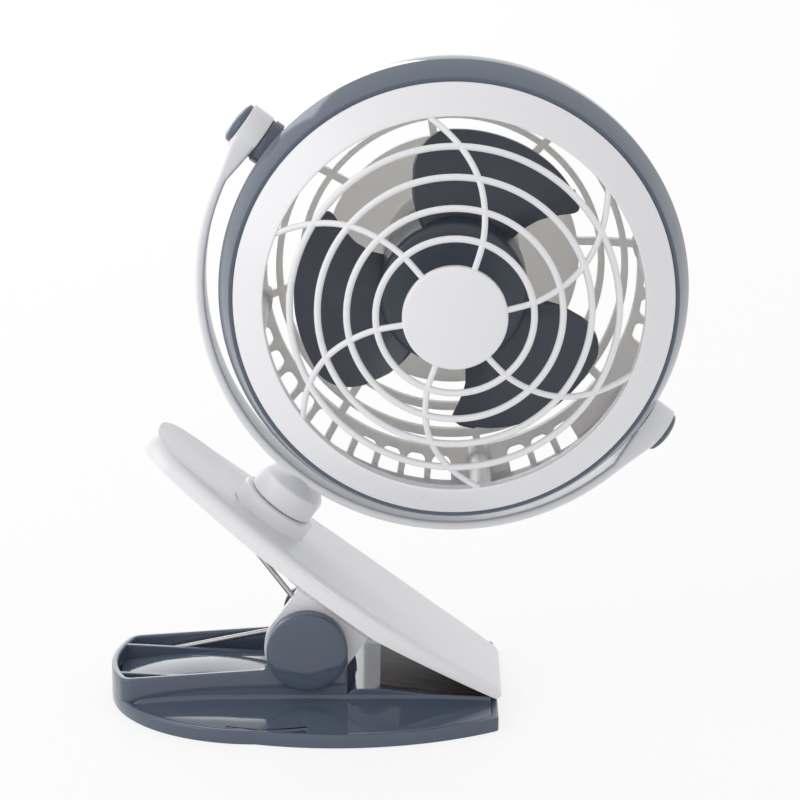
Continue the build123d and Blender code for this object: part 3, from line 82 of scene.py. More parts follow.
# ---------------------------------------------------------------- colours and materials
def linear(code):
    """Linear colour from an sRGB hex value."""
    channels = [int(code[k:k + 2], 16) / 255 for k in (0, 2, 4)]
    return tuple(c / 12.92 if c <= 0.04045 else ((c + 0.055) / 1.055) ** 2.4 for c in channels)


def add_node(tree, kind, settings=None, links=None):
    """A shader node with its settings and links. A name in settings is a socket's or a property's."""
    node = tree.nodes.new(kind)
    for name, value in (settings or {}).items():
        if isinstance(name, int) or name in node.inputs:
            node.inputs[name].default_value = value
        else:
            setattr(node, name, value)
    for name, source in (links or {}).items():
        tree.links.new(source, node.inputs[name])
    return node


def per_metre(size_mm):
    """Scale of a texture whose features are this many millimetres across."""
    return 1.0 / (size_mm * MM)


def node_of(tree, kind):
    """The node of a kind that a tree has one of."""
    return next(node for node in tree.nodes if node.bl_idname == kind)


def new_material(name, shader):
    """A material with one principled shader, and the object's own coordinates in metres."""
    made = bpy.data.materials.new(name)
    made.use_nodes = True
    tree = made.node_tree
    tree.nodes.clear()
    surface = add_node(tree, "ShaderNodeBsdfPrincipled", shader)
    add_node(tree, "ShaderNodeOutputMaterial", None, {"Surface": surface.outputs[0]})
    place = add_node(tree, "ShaderNodeTexCoord").outputs["Object"]
    return made, tree, surface, place


def moulded_abs(name, colour, roughness, peel_mm, peel_depth, mottle):
    """Injection-moulded ABS: one even colour under a glossy skin.

    The eye sees it in the soft ripple of its reflections, like orange peel, which comes from the
    mould's polish, and in a very slight unevenness of the pigment.
    """
    made, tree, surface, place = new_material(name, {"IOR": 1.53, "Specular IOR Level": 0.5})
    cloud = add_node(tree, "ShaderNodeTexNoise", {"Scale": per_metre(24), "Detail": 3.0, "Roughness": 0.6},
                     {"Vector": place})
    low, high = [tuple(min(1, c * k) for c in colour) + (1,) for k in (1 - mottle, 1 + mottle)]
    tint = add_node(tree, "ShaderNodeMix", {"data_type": "RGBA", 6: low, 7: high}, {0: cloud.outputs[0]})
    tree.links.new(tint.outputs[2], surface.inputs["Base Color"])
    polish = add_node(tree, "ShaderNodeTexNoise", {"Scale": per_metre(7), "Detail": 2.0}, {"Vector": place})
    sheen = add_node(tree, "ShaderNodeMapRange", {"To Min": roughness * 0.8, "To Max": roughness * 1.25},
                     {"Value": polish.outputs[0]})
    tree.links.new(sheen.outputs[0], surface.inputs["Roughness"])
    peel = add_node(tree, "ShaderNodeTexNoise", {"Scale": per_metre(peel_mm), "Detail": 1.0},
                    {"Vector": place})
    ripple = add_node(tree, "ShaderNodeBump", {"Strength": 1.0, "Distance": peel_depth * MM},
                      {"Height": peel.outputs[0]})
    tree.links.new(ripple.outputs[0], surface.inputs["Normal"])
    return made


def let_light_through(made, share):
    """Thin white moulding: a share of the light on one side comes out on the other, as a warm glow."""
    tree = made.node_tree
    surface = node_of(tree, "ShaderNodeBsdfPrincipled")
    glow = add_node(tree, "ShaderNodeBsdfTranslucent", {"Color": linear("fdfbf6") + (1,)})
    mixed = add_node(tree, "ShaderNodeMixShader", {0: share}, {1: surface.outputs[0], 2: glow.outputs[0]})
    tree.links.new(mixed.outputs[0], node_of(tree, "ShaderNodeOutputMaterial").inputs["Surface"])
    return made


def streaked_rubber(name, colour, streak):
    """Moulded rubber sheet: nearly black, with brown streaks along the sheet where it was drawn.

    The eye sees fine lines that run along the clip and a dull sheen between them.
    """
    made, tree, surface, place = new_material(name, {"Roughness": 0.55, "IOR": 1.5})
    along = add_node(tree, "ShaderNodeMapping", {"Scale": (0.07, 1.0, 1.0)}, {"Vector": place})
    lines = add_node(tree, "ShaderNodeTexNoise", {"Scale": per_metre(1.6), "Detail": 6.0, "Roughness": 0.7},
                     {"Vector": along.outputs[0]})
    ramp = add_node(tree, "ShaderNodeValToRGB", None, {"Fac": lines.outputs[0]})
    ramp.color_ramp.elements[0].position, ramp.color_ramp.elements[1].position = 0.42, 0.74
    ramp.color_ramp.elements[0].color, ramp.color_ramp.elements[1].color = colour + (1,), streak + (1,)
    tree.links.new(ramp.outputs[0], surface.inputs["Base Color"])
    ridges = add_node(tree, "ShaderNodeBump", {"Strength": 0.6, "Distance": 0.15 * MM},
                      {"Height": lines.outputs[0]})
    tree.links.new(ridges.outputs[0], surface.inputs["Normal"])
    return made


def worked_metal(name, colour, roughness, line_mm, stretch):
    """Bare metal that was drawn, turned or pressed: bright, with fine lines the way it was worked.

    The lines of real wire are finer than a hair, so they are drawn as coarse as they need to show.
    """
    made, tree, surface, place = new_material(name, {"Metallic": 1.0})
    along = add_node(tree, "ShaderNodeMapping", {"Scale": stretch}, {"Vector": place})
    lines = add_node(tree, "ShaderNodeTexNoise", {"Scale": per_metre(line_mm), "Detail": 4.0},
                     {"Vector": along.outputs[0]})
    dark = tuple(c * 0.75 for c in colour) + (1,)
    tint = add_node(tree, "ShaderNodeMix", {"data_type": "RGBA", 6: dark, 7: colour + (1,)},
                    {0: lines.outputs[0]})
    tree.links.new(tint.outputs[2], surface.inputs["Base Color"])
    gloss = add_node(tree, "ShaderNodeMapRange", {"To Min": roughness * 0.7, "To Max": roughness * 1.3},
                     {"Value": lines.outputs[0]})
    tree.links.new(gloss.outputs[0], surface.inputs["Roughness"])
    scratch = add_node(tree, "ShaderNodeBump", {"Strength": 0.3, "Distance": 0.05 * MM},
                       {"Height": lines.outputs[0]})
    tree.links.new(scratch.outputs[0], surface.inputs["Normal"])
    return made


def enamelled_winding(name, colour):
    """Enamelled copper wire wound on iron: rows of round wire under a clear orange varnish, with painted
    shade darkening the grooves between the rows.
    """
    made, tree, surface, place = new_material(name, {"Metallic": 0.8, "Roughness": 0.3})
    rows = add_node(tree, "ShaderNodeTexWave", {"bands_direction": "Y", "Scale": per_metre(0.5) / 20,
                                                "Distortion": 0.4}, {"Vector": place})
    # painted shade: the colour falls to a third of the copper's in the grooves between the round wires, and
    # is full at their crests
    tint = add_node(tree, "ShaderNodeMix", {"data_type": "RGBA", 6: tuple(c * 0.3 for c in colour) + (1,),
                                            7: colour + (1,)}, {0: rows.outputs[0]})
    tree.links.new(tint.outputs[2], surface.inputs["Base Color"])
    round_wire = add_node(tree, "ShaderNodeBump", {"Strength": 0.8, "Distance": 0.2 * MM},
                          {"Height": rows.outputs[0]})
    tree.links.new(round_wire.outputs[0], surface.inputs["Normal"])
    return made


def masked_board(name, mask, copper):
    """Glass-fibre board under green solder mask: the copper tracks show as paler, raised lines."""
    made, tree, surface, place = new_material(name, {"Roughness": 0.35, "IOR": 1.5})
    tracks = add_node(tree, "ShaderNodeTexBrick", {"Scale": per_metre(3.0), "Mortar Size": 0.06,
                                                   "Color1": mask + (1,), "Color2": mask + (1,),
                                                   "Mortar": copper + (1,)}, {"Vector": place})
    tree.links.new(tracks.outputs["Color"], surface.inputs["Base Color"])
    raised = add_node(tree, "ShaderNodeBump", {"Strength": 0.5, "Distance": 0.05 * MM},
                      {"Height": tracks.outputs["Fac"]})
    tree.links.new(raised.outputs[0], surface.inputs["Normal"])
    return made


FINISHES = {}


def finish_of(kind):
    """One of the fan's finishes, made from the scene's settings the first time it is asked for."""
    if kind not in FINISHES:
        picked = bpy.context.scene.clip_fan.finish
        white, slate, blade = tuple(picked.white), tuple(picked.slate), tuple(picked.blade)
        polished = {"roughness": 0.3, "peel_mm": 1.8, "peel_depth": 0.01, "mottle": 0.012}
        FINISHES.update({
            "white_abs": moulded_abs("Gloss_White_Moulded_ABS", white, **polished),
            "thin_white": let_light_through(
                moulded_abs("Thin_White_Moulded_ABS", white, **polished), share=0.42),
            "slate_abs": moulded_abs("Gloss_Slate_Moulded_ABS", slate,
                                     roughness=0.075, peel_mm=2.2, peel_depth=0.006, mottle=0.03),
            "blade_abs": moulded_abs("Satin_Slate_Moulded_ABS", blade,
                                     roughness=0.34, peel_mm=0.9, peel_depth=0.01, mottle=0.05),
            "black_plastic": moulded_abs("Textured_Black_Moulded_Nylon", linear("1c1c1e"),
                                         roughness=0.5, peel_mm=0.4, peel_depth=0.03, mottle=0.08),
            "dark_rubber": streaked_rubber("Drawn_Black_Rubber", tuple(picked.pad), linear("5a4c42")),
            "fibre_washer": moulded_abs("Pressed_Grey_Fibre", linear("7d7472"),
                                        roughness=0.6, peel_mm=0.5, peel_depth=0.03, mottle=0.06),
            "steel": worked_metal("Drawn_Spring_Steel", linear("c9c8c4"),
                                  roughness=0.28, line_mm=0.5, stretch=(1, 1, 1)),
            "motor_metal": worked_metal("Pressed_Plated_Steel", linear("9a8468"),
                                        roughness=0.35, line_mm=0.8, stretch=(1, 1, 0.1)),
            "bronze": worked_metal("Sintered_Bronze", linear("c49a5a"),
                                   roughness=0.4, line_mm=0.3, stretch=(1, 1, 1)),
            "copper_winding": enamelled_winding("Enamelled_Copper_Wire", linear("b8602c")),
            "board_green": masked_board("Solder_Masked_Board", linear("1f5a36"), linear("3f8a55")),
        })
    return FINISHES[kind]


# ---------------------------------------------------------------- mesh tools, in millimetres
MOST_OF_SIDE = 0.49       # a rounded corner takes up no more of a side than this
WELD = 0.0005             # points nearer than this are one point


def polar(radius, degrees, height=0.0):
    """Point at a radius and angle about the z axis."""
    turn = math.radians(degrees)
    return Vector((radius * math.cos(turn), radius * math.sin(turn), height))


def rounded(corners, steps=5):
    """Closed outline with each corner (x, y, radius) rounded off, nearly as an arc."""
    outline = []
    count = len(corners)
    for k, (x, y, radius) in enumerate(corners):
        here = Vector((x, y))
        back = Vector(corners[k - 1][:2]) - here
        ahead = Vector(corners[(k + 1) % count][:2]) - here
        half = back.angle(ahead) / 2
        if radius <= 0 or abs(half - math.pi / 2) < 1e-4:
            outline.append(here)
            continue
        reach = min(radius / math.tan(half), back.length * MOST_OF_SIDE, ahead.length * MOST_OF_SIDE)
        start, end = here + back.normalized() * reach, here + ahead.normalized() * reach
        for step in range(steps + 1):
            t = step / steps
            outline.append((1 - t) ** 2 * start + 2 * t * (1 - t) * here + t * t * end)
    return outline


def skin(mesh, sections, wrap=False, caps=False):
    """Quads between neighbouring closed sections."""
    rings = [[mesh.verts.new(point) for point in section] for section in sections]
    pairs = list(zip(rings, rings[1:])) + ([(rings[-1], rings[0])] if wrap else [])
    for first, second in pairs:
        for k in range(len(first)):
            after = (k + 1) % len(first)
            mesh.faces.new((first[k], first[after], second[after], second[k]))
    if caps:
        mesh.faces.new(list(reversed(rings[0])))
        mesh.faces.new(rings[-1])


def lathe(mesh, outline, steps=240, axis="z", at=(0, 0, 0)):
    """A closed outline of (radius, height) turned about an axis."""
    for_axis = {"z": lambda r, h, c, s: (r * c, r * s, h), "y": lambda r, h, c, s: (r * s, h, r * c),
                "x": lambda r, h, c, s: (h, r * c, r * s)}[axis]
    base = Vector(at)
    sections = []
    for k in range(steps):
        turn = 2 * math.pi * k / steps
        sections.append([base + Vector(for_axis(max(p[0], 0.0), p[1], math.cos(turn), math.sin(turn)))
                         for p in outline])
    skin(mesh, sections, wrap=True)


def rod(mesh, points, radius, sides=14, wrap=False):
    """A round rod along points, its section carried along without twist."""
    points = [Vector(p) for p in points]
    count = len(points)
    sections, up = [], None
    for k, point in enumerate(points):
        ahead = points[(k + 1) % count] if wrap or k < count - 1 else point
        behind = points[k - 1] if wrap or k > 0 else point
        way = (ahead - behind).normalized()
        side = way.orthogonal() if up is None else up - way * up.dot(way)
        up = side.normalized()
        across = way.cross(up)
        sections.append([point + (up * math.cos(a) + across * math.sin(a)) * radius
                         for a in (2 * math.pi * j / sides for j in range(sides))])
    skin(mesh, sections, wrap=wrap, caps=not wrap)


def arc(radius, start, end, height=0.0, steps=96):
    """Points on an arc about the z axis, in degrees."""
    return [polar(radius, start + (end - start) * k / steps, height) for k in range(steps + 1)]


def build(name, mesh, body, kind, stands_for, place=HEAD, sharp=35.0):
    """Finish a mesh drawn in millimetres and put it on its body in place of its CAD node."""
    bmesh.ops.remove_doubles(mesh, verts=mesh.verts, dist=WELD)
    bmesh.ops.recalc_face_normals(mesh, faces=mesh.faces)
    data = bpy.data.meshes.new(name)
    mesh.to_mesh(data)
    mesh.free()
    data.transform(place @ Matrix.Scale(MM, 4))
    data.shade_smooth()
    data.set_sharp_from_angle(angle=math.radians(sharp))
    return place_piece(name, data, body, kind, stands_for)


def place_piece(name, data, body, kind, stands_for, finish=None):
    """Put a mesh on its body in place of its CAD nodes, in the finish of its kind or in one of its own."""
    data.name = name
    data.materials.clear()
    data.materials.append(finish_of(finish or kind))
    piece = bpy.data.objects.new(name, data)
    bpy.context.scene.collection.objects.link(piece)
    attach(piece, body)
    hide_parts(*stands_for)
    return piece


def soften(piece, width_mm, segments=3, angle=32.0):
    """Round the edges of a piece as its mould would."""
    bevel = piece.modifiers.new("Moulded_Edges", "BEVEL")
    bevel.width, bevel.segments = width_mm * MM, segments
    bevel.limit_method, bevel.angle_limit = "ANGLE", math.radians(angle)
    bevel.use_clamp_overlap = True
    bevel.harden_normals = True
    return piece


def prism(mesh, outline, low, high, lay):
    """A closed outline carried from low to high; lay turns (a, b, height) into a point."""
    skin(mesh, [[lay(a, b, level) for a, b in outline] for level in (low, high)], caps=True)


def from_node(node, kind, name=None, finish=None):
    """A copy of a CAD node's own mesh, with its exact surface normals, in its finish."""
    solid = NODES[node]
    return place_piece(name or node + "_piece", solid.data.copy(), solid["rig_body"], kind, [node], finish)


# ---------------------------------------------------------------- settings
class FinishSettings(bpy.types.PropertyGroup):
    """Colours of the fan's plastics and pads."""
    white: FloatVectorProperty(name="White plastic", description="Guard, yoke and upper clip",
                               subtype="COLOR", default=linear("eeeef1"), min=0, max=1)
    slate: FloatVectorProperty(name="Slate plastic", description="Middle ring, caps and clip base",
                               subtype="COLOR", default=linear("515c6d"), min=0, max=1)
    blade: FloatVectorProperty(name="Blade plastic", description="Impeller", subtype="COLOR",
                               default=linear("3e4550"), min=0, max=1)
    pad: FloatVectorProperty(name="Pad rubber", description="Grip pads and feet", subtype="COLOR",
                             default=linear("1a1614"), min=0, max=1)


class GuardSettings(bpy.types.PropertyGroup):
    """Sizes of the front guard."""
    apex: FloatProperty(name="Apex", description="Front of the dome, ahead of the pivots", unit="LENGTH",
                        default=54.2 * MM)
    dome: FloatProperty(name="Dome radius", description="Radius of the guard's dome", unit="LENGTH",
                        default=113.0 * MM)
    inner: FloatProperty(name="Band inner radius", description="Inside of the broad white band",
                         unit="LENGTH", default=60.6 * MM)
    outer: FloatProperty(name="Band outer radius", description="Outside of the broad white band",
                         unit="LENGTH", default=70.4 * MM)
    ring_rod: FloatProperty(name="Ring rod", description="Thickness of the guard's rings", unit="LENGTH",
                            default=2.2 * MM)
    spoke_rod: FloatProperty(name="Spoke rod", description="Thickness of the guard's spokes", unit="LENGTH",
                             default=2.0 * MM)
    disc: FloatProperty(name="Disc radius", description="The plain disc in the middle", unit="LENGTH",
                        default=16.6 * MM)
    spokes: IntProperty(name="Spokes", description="How many spokes swirl out to the band", default=6, min=3,
                        max=24)


class ImpellerSettings(bpy.types.PropertyGroup):
    """Sizes of the impeller."""
    tip: FloatProperty(name="Tip radius", description="Reach of the blades", unit="LENGTH", default=52.0 * MM)
    hub: FloatProperty(name="Hub radius", description="Outside of the hub", unit="LENGTH", default=24.0 * MM)
    thickness: FloatProperty(name="Blade thickness", description="Thickness of a blade", unit="LENGTH",
                             default=1.7 * MM)
    blades: IntProperty(name="Blades", description="How many blades", default=3, min=2, max=9)


class StageSettings(bpy.types.PropertyGroup):
    """Light and floor of the studio."""
    floor: FloatVectorProperty(name="Floor", description="Pale studio floor", subtype="COLOR",
                               default=linear("f7f7f7"), min=0, max=1)
    fill: FloatProperty(name="Fill", description="Strength of the light from all round", default=0.74, min=0)
    key: FloatProperty(name="Key", description="Power of the main soft box", subtype="POWER", default=10.0,
                       min=0)


class ClipFanSettings(bpy.types.PropertyGroup):
    """Everything a user may change."""
    finish: PointerProperty(type=FinishSettings)
    guard: PointerProperty(type=GuardSettings)
    impeller: PointerProperty(type=ImpellerSettings)
    stage: PointerProperty(type=StageSettings)


# ---------------------------------------------------------------- front guard
# How far a spoke has swung round, in degrees, at each radius in millimetres.
SPOKE_SWING = ((16.0, 0.0), (24.8, 1.5), (33.9, 5.8), (43.1, 11.7), (52.0, 19.7), (62.3, 30.8))
RING_RADII = (24.8, 33.9, 43.1, 52.0)
FIRST_SPOKE = 45.4
ROD_SINK = 1.4            # the middles of the rods lie this far under the dome
BAND_WALL = 2.4
BAND_TURN_IN = 5.5        # the band's inner edge turns back this far towards the blades
BAND_SEAT = 14.0          # height where the band meets the middle ring
BAND_BACK = 12.0          # height of the lip that centres it in the ring
LIP_STEP = 0.4            # the lip stands out from the band by this much
LIP_WALL = 2.0            # and the band's own edge behind it is this thick
DISC_THICKNESS = 2.8
DISC_INTO = 1.5           # how far a spoke runs into the disc
BAND_INTO = 1.0           # and into the band
POST_COUNT = 4
POST_PLACE = 45.0         # angle of the first post
POST_INSET = 6.4          # from the outside of the band to a post's middle
POST_DROP = 3.5           # a post ends this far under the middle of the band's sloping wall
POST_BORE = 1.55
POST_RADIUS = 3.5
POST_FOOT = -3.0


def swing_at(radius):
    """Angle of a spoke at a radius, on a smooth curve through the measured places."""
    for k, ((low, a), (high, b)) in enumerate(zip(SPOKE_SWING, SPOKE_SWING[1:])):
        if radius <= high:
            before = SPOKE_SWING[max(k - 1, 0)]
            after = SPOKE_SWING[min(k + 2, len(SPOKE_SWING) - 1)]
            run = high - low
            slope_a = (b - before[1]) / (high - before[0])
            slope_b = (after[1] - a) / (after[0] - low)
            t = (radius - low) / run
            return (a * (1 + 2 * t) * (1 - t) ** 2 + run * slope_a * t * (1 - t) ** 2
                    + b * t * t * (3 - 2 * t) + run * slope_b * t * t * (t - 1))
    return SPOKE_SWING[-1][1]


class CLIPFAN_OT_front_guard(bpy.types.Operator):
    """Domed guard: plain disc, four rings, swirling spokes and the broad band"""
    bl_idname = "clip_fan.front_guard"
    bl_label = "Front guard"

    def execute(self, context):
        sizes = context.scene.clip_fan.guard
        apex, dome = sizes.apex / MM, sizes.dome / MM

        def height(radius, under=0.0):
            return apex - dome + math.sqrt((dome - under) ** 2 - radius ** 2)

        mesh = bmesh.new()
        inner, outer, disc = sizes.inner / MM, sizes.outer / MM, sizes.disc / MM
        edge, lip, back = inner + BAND_WALL, outer + LIP_STEP, outer - LIP_WALL
        turned_in = height(inner) - BAND_TURN_IN
        middle = (inner + outer) / 2
        face = [(r, height(r), 0) for r in (inner + 1.6, inner + 4, middle, outer - 3, outer - 1)]
        band = ([(inner, turned_in, 0.5), (inner, height(inner) - 0.1, 1.4)] + face
                + [(outer, height(outer), 0.9), (outer, BAND_SEAT, 0), (lip, BAND_SEAT, 0),
                   (lip, BAND_BACK, 0), (back, BAND_BACK, 0), (back, height(back, BAND_WALL), 1.0),
                   (edge, height(edge, BAND_WALL), 0.8), (edge, turned_in, 0.5)])
        lathe(mesh, rounded(band), 288)
        rings = sizes.ring_rod / MM / 2
        for radius in RING_RADII:
            rod(mesh, arc(radius, 0, 360, height(radius, ROD_SINK), 216)[:-1], rings, 16, wrap=True)
        spoke = sizes.spoke_rod / MM / 2
        length = inner + BAND_INTO - disc + DISC_INTO
        reach = [disc - DISC_INTO + length * k / 60 for k in range(61)]
        for k in range(sizes.spokes):
            turn = FIRST_SPOKE + 360.0 * k / sizes.spokes
            rod(mesh, [polar(r, turn + swing_at(r), height(r, ROD_SINK)) for r in reach], spoke, 14)
        crown = [(r, height(r), 0) for r in (0, disc * 0.35, disc * 0.7, disc * 0.9)]
        under = height(disc) - DISC_THICKNESS
        plain = crown + [(disc, height(disc) - 0.05, 0.9), (disc, under, 0.5), (0, under, 0)]
        lathe(mesh, rounded(plain), 144)
        for k in range(POST_COUNT):
            post = polar(outer - POST_INSET, POST_PLACE + 360.0 * k / POST_COUNT)
            top = height(outer - POST_INSET, BAND_WALL / 2) - POST_DROP
            lathe(mesh, rounded([(POST_BORE, POST_FOOT, 0.1), (POST_RADIUS, POST_FOOT, 0.3),
                                 (POST_RADIUS, top, 0.1), (POST_BORE, top, 0.1)]), 32, at=post)
        build("front_guard", mesh, "head", "white_abs", ["front_grille"])
        return {"FINISHED"}


RING_FRONT = (71.7, 29.0)  # radius and height of the middle ring's outer corners
RING_CREASE = (75.5, 17.2)
RING_REAR = (72.3, -4.0)
RING_FRONT_BORE = 70.5
RING_BORE = 70.9
RIB_BORE = 69.3           # the rib inside, between the two guards
RIB_BACK = 6.0
RIB_FRONT = 7.6
PIVOT_BORE = 2.03
BOSS_RADIUS = 7.8         # the flat bosses that the yoke's ends turn on
BOSS_FOOT = 71.2
BOSS_FACE = 76.9
INNER_BOSS_RADIUS = 5.0   # and the smaller ones inside the ring
INNER_BOSS_FOOT = 71.5
INNER_BOSS_FACE = 67.9


class CLIPFAN_OT_middle_ring(bpy.types.Operator):
    """Slate ring between the guards, with its two flat pivot bosses"""
    bl_idname = "clip_fan.middle_ring"
    bl_label = "Middle ring"

    def execute(self, context):
        mesh = bmesh.new()
        # the front of the barrel is nearly a cone, and a soft crease parts it from the rounder rear
        front, rear = RING_FRONT[1], RING_REAR[1]
        outline = (self.bow(RING_FRONT, RING_CREASE, 0.15) + [(*RING_CREASE, 0.25)]
                   + self.bow(RING_CREASE, RING_REAR, 0.9)
                   + [(*RING_REAR, 0.5), (RING_BORE, rear, 0.3), (RING_BORE, RIB_BACK, 0),
                      (RIB_BORE, RIB_BACK, 0), (RIB_BORE, RIB_FRONT, 0), (RING_BORE, RIB_FRONT, 0),
                      (RING_BORE, BAND_SEAT, 0), (RING_FRONT_BORE, BAND_SEAT, 0),
                      (RING_FRONT_BORE, front, 0.3), (*RING_FRONT, 0.3)])
        lathe(mesh, rounded(outline), 320)
        for side in (-1, 1):
            foot, face = side * INNER_BOSS_FOOT, side * INNER_BOSS_FACE
            lathe(mesh, rounded([(PIVOT_BORE, face, 0.1), (INNER_BOSS_RADIUS, face, 0.5),
                                 (INNER_BOSS_RADIUS, foot, 0), (PIVOT_BORE, foot, 0)]), 48, axis="x")
            foot, face = side * BOSS_FOOT, side * BOSS_FACE
            lathe(mesh, rounded([(PIVOT_BORE, foot, 0), (BOSS_RADIUS, foot, 0), (BOSS_RADIUS, face, 0.5),
                                 (PIVOT_BORE, face, 0.1)]), 72, axis="x")
        build("middle_band", mesh, "head", "slate_abs", ["middle_ring"])
        return {"FINISHED"}

    @staticmethod
    def bow(start, end, rise, steps=10):
        """Corners along a shallow arc that stands out from its chord by a rise, without its ends."""
        start, end = Vector(start), Vector(end)
        chord = end - start
        out = Vector((-chord.y, chord.x)).normalized()
        shares = [k / steps for k in range(1, steps)]
        return [(*(start + chord * t + out * 4 * rise * t * (1 - t)), 0) for t in shares]


class CLIPFAN_OT_rear_guard(bpy.types.Operator):
    """Rear guard: closed bowl, rings, spokes and the row of windows at the rim"""
    bl_idname = "clip_fan.rear_guard"
    bl_label = "Rear guard"

    def execute(self, context):
        from_node("rear_grille", "white_abs", name="rear_guard", finish="thin_white")
        from_node("case_screws", "steel", name="case_screw_heads")
        return {"FINISHED"}


# ---------------------------------------------------------------- impeller and motor
# Where a blade's two edges lie, in degrees, at each radius in millimetres.
BLADE_REAR_EDGE = ((22.0, 75.0), (28.0, 76.2), (34.0, 74.6), (40.0, 70.6), (44.0, 67.8), (48.0, 65.6))
BLADE_FRONT_EDGE = ((22.0, 151.5), (28.0, 151.0), (34.0, 149.2), (40.0, 145.6), (46.0, 143.0), (52.0, 141.0))
BLADE_START = 75.0        # the twist starts at this angle
BLADE_SWEEP = 78.0        # and goes on for this many degrees
BLADE_LOW = 4.2           # height of a blade at the start of its twist
BLADE_RISE = 15.4
TWIST_EASE = 0.12         # how far the twist strays from an even slope
TIP_DROOP = 0.06          # share of the rise that a blade loses or gains at its tip
TIP_TRIM = 4.2            # the rear edge ends this much short of the tip
HEEL_RADIUS = 3.2
TOE_RADIUS = 11.0
BLADE_INTO = 1.0          # how far a blade runs into the hub
HUB_FRONT = 22.0
HUB_BACK = 2.0
HUB_WALL = 2.0
SOCKET_RADIUS = 5.0
SOCKET_FOOT = 7.7
SHAFT_BORE = 1.51
SHAFT_END = 19.0


def along_edge(places, radius):
    """Angle of a blade's edge at a radius."""
    for (low, a), (high, b) in zip(places, places[1:]):
        if radius <= high:
            return a + (b - a) * (radius - low) / (high - low)
    return places[-1][1]


def blade_height(share):
    """Height of the twisted blade at a share of the way round it."""
    return BLADE_LOW + BLADE_RISE * (share + TWIST_EASE * math.sin(2 * math.pi * share))


class CLIPFAN_OT_impeller(bpy.types.Operator):
    """Impeller: rounded hub and three broad twisted blades in one moulding"""
    bl_idname = "clip_fan.impeller"
    bl_label = "Impeller"

    def execute(self, context):
        sizes = context.scene.clip_fan.impeller
        hub, tip = sizes.hub / MM, sizes.tip / MM
        mesh = bmesh.new()
        bore, ceiling = hub - HUB_WALL, HUB_FRONT - HUB_WALL
        cup = [(0, HUB_FRONT, 0), (hub, HUB_FRONT, 3.6), (hub, HUB_BACK, 0.4), (bore, HUB_BACK, 0.4),
               (bore, ceiling, 0.6), (SOCKET_RADIUS, ceiling, 0.4), (SOCKET_RADIUS, SOCKET_FOOT, 0.3),
               (SHAFT_BORE, SOCKET_FOOT, 0), (SHAFT_BORE, SHAFT_END, 0), (0, SHAFT_END, 0)]
        lathe(mesh, rounded(cup, 8), 160)
        build("impeller_hub", mesh, "rotor", "blade_abs", ["impeller"])
        mesh = bmesh.new()
        for k in range(sizes.blades):
            self.add_blade(mesh, 360.0 * k / sizes.blades, hub - BLADE_INTO, tip)
        blades = build("impeller_blades", mesh, "rotor", "blade_abs", ["impeller"], sharp=60)
        sheet = blades.modifiers.new("Blade_Thickness", "SOLIDIFY")
        sheet.thickness, sheet.offset = sizes.thickness, 0.0
        soften(blades, 0.6, 3, 50)
        return {"FINISHED"}

    @staticmethod
    def add_blade(mesh, turn, root, tip):
        """One blade as a grid from the hub to the tip, with its two tip corners rounded."""
        steps, across = 34, 48
        rows = []
        for k in range(steps + 1):
            share_out = 1 - (1 - k / steps) ** 1.6
            radius = root + (tip - root) * share_out
            behind = root + (tip - TIP_TRIM - root) * share_out
            start, end = along_edge(BLADE_REAR_EDGE, behind), along_edge(BLADE_FRONT_EDGE, radius)
            into = max(0.0, behind - (tip - TIP_TRIM - HEEL_RADIUS))
            start += math.degrees((HEEL_RADIUS - math.sqrt(max(0.0, HEEL_RADIUS ** 2 - into ** 2))) / behind)
            into = max(0.0, radius - (tip - TOE_RADIUS))
            end -= math.degrees((TOE_RADIUS - math.sqrt(max(0.0, TOE_RADIUS ** 2 - into ** 2))) / radius)
            row = []
            for j in range(across + 1):
                angle = start + (end - start) * j / across
                share = (angle - BLADE_START) / BLADE_SWEEP
                place = behind + (radius - behind) * (1 - (1 - j / across) ** 3)
                droop = TIP_DROOP * BLADE_RISE * (1 - 2 * share) * (place - root) / (tip - root)
                row.append(mesh.verts.new(polar(place, angle + turn, blade_height(share) + droop)))
            rows.append(row)
        for low, high in zip(rows, rows[1:]):
            for j in range(across):
                mesh.faces.new((low[j], low[j + 1], high[j + 1], high[j]))


class CLIPFAN_OT_motor(bpy.types.Operator):
    """Motor in the bowl: can, end plate, magnets, armature, bushes and shaft"""
    bl_idname = "clip_fan.motor"
    bl_label = "Motor"

    def execute(self, context):
        for node, kind in (("motor_can", "motor_metal"), ("motor_end_cap", "motor_metal"),
                           ("motor_magnets", "motor_metal"), ("bearing_front", "bronze"),
                           ("bearing_rear", "bronze"), ("armature", "copper_winding"),
                           ("motor_shaft", "steel")):
            from_node(node, kind)
        return {"FINISHED"}


class CLIPFAN_OT_controls(bpy.types.Operator):
    """Board, switch, button and power inlet in the rear bowl"""
    bl_idname = "clip_fan.controls"
    bl_label = "Controls"

    def execute(self, context):
        for node, kind in (("circuit_board", "board_green"), ("switch_body", "black_plastic"),
                           ("switch_button", "slate_abs"), ("power_inlet", "black_plastic")):
            from_node(node, kind)
        return {"FINISHED"}


# ---------------------------------------------------------------- yoke
YOKE_HALF_WIDTH = 7.5
YOKE_EDGE = 1.3           # rounding of the band's long edges
ARCH_INNER = 80.5
ARCH_OUTER = 83.5
END_INNER = 77.8
END_OUTER = 85.5
END_SKIN = 0.2            # the arch stays this far inside the face of each end
CAP_RECESS = 7.1
CAP_SEAT = 84.9
SCREW_RECESS = 4.3
SCREW_SEAT = 82.3
SCREW_BORE = 2.05
CAP_RADIUS = 7.0
CAP_RIM = 0.6
CAP_DOME = 2.3
# The neck under the arch, as heights along the stem, and the spigot that turns in the clip.
NECK_TOP = -81.4
NECK_TOP_RADIUS = 6.6
NECK_SHOULDER = -87.1
NECK_RADIUS = 11.4
NECK_FOOT = -94.4
SPIGOT_RADIUS = 7.5
SPIGOT_END = -103.7


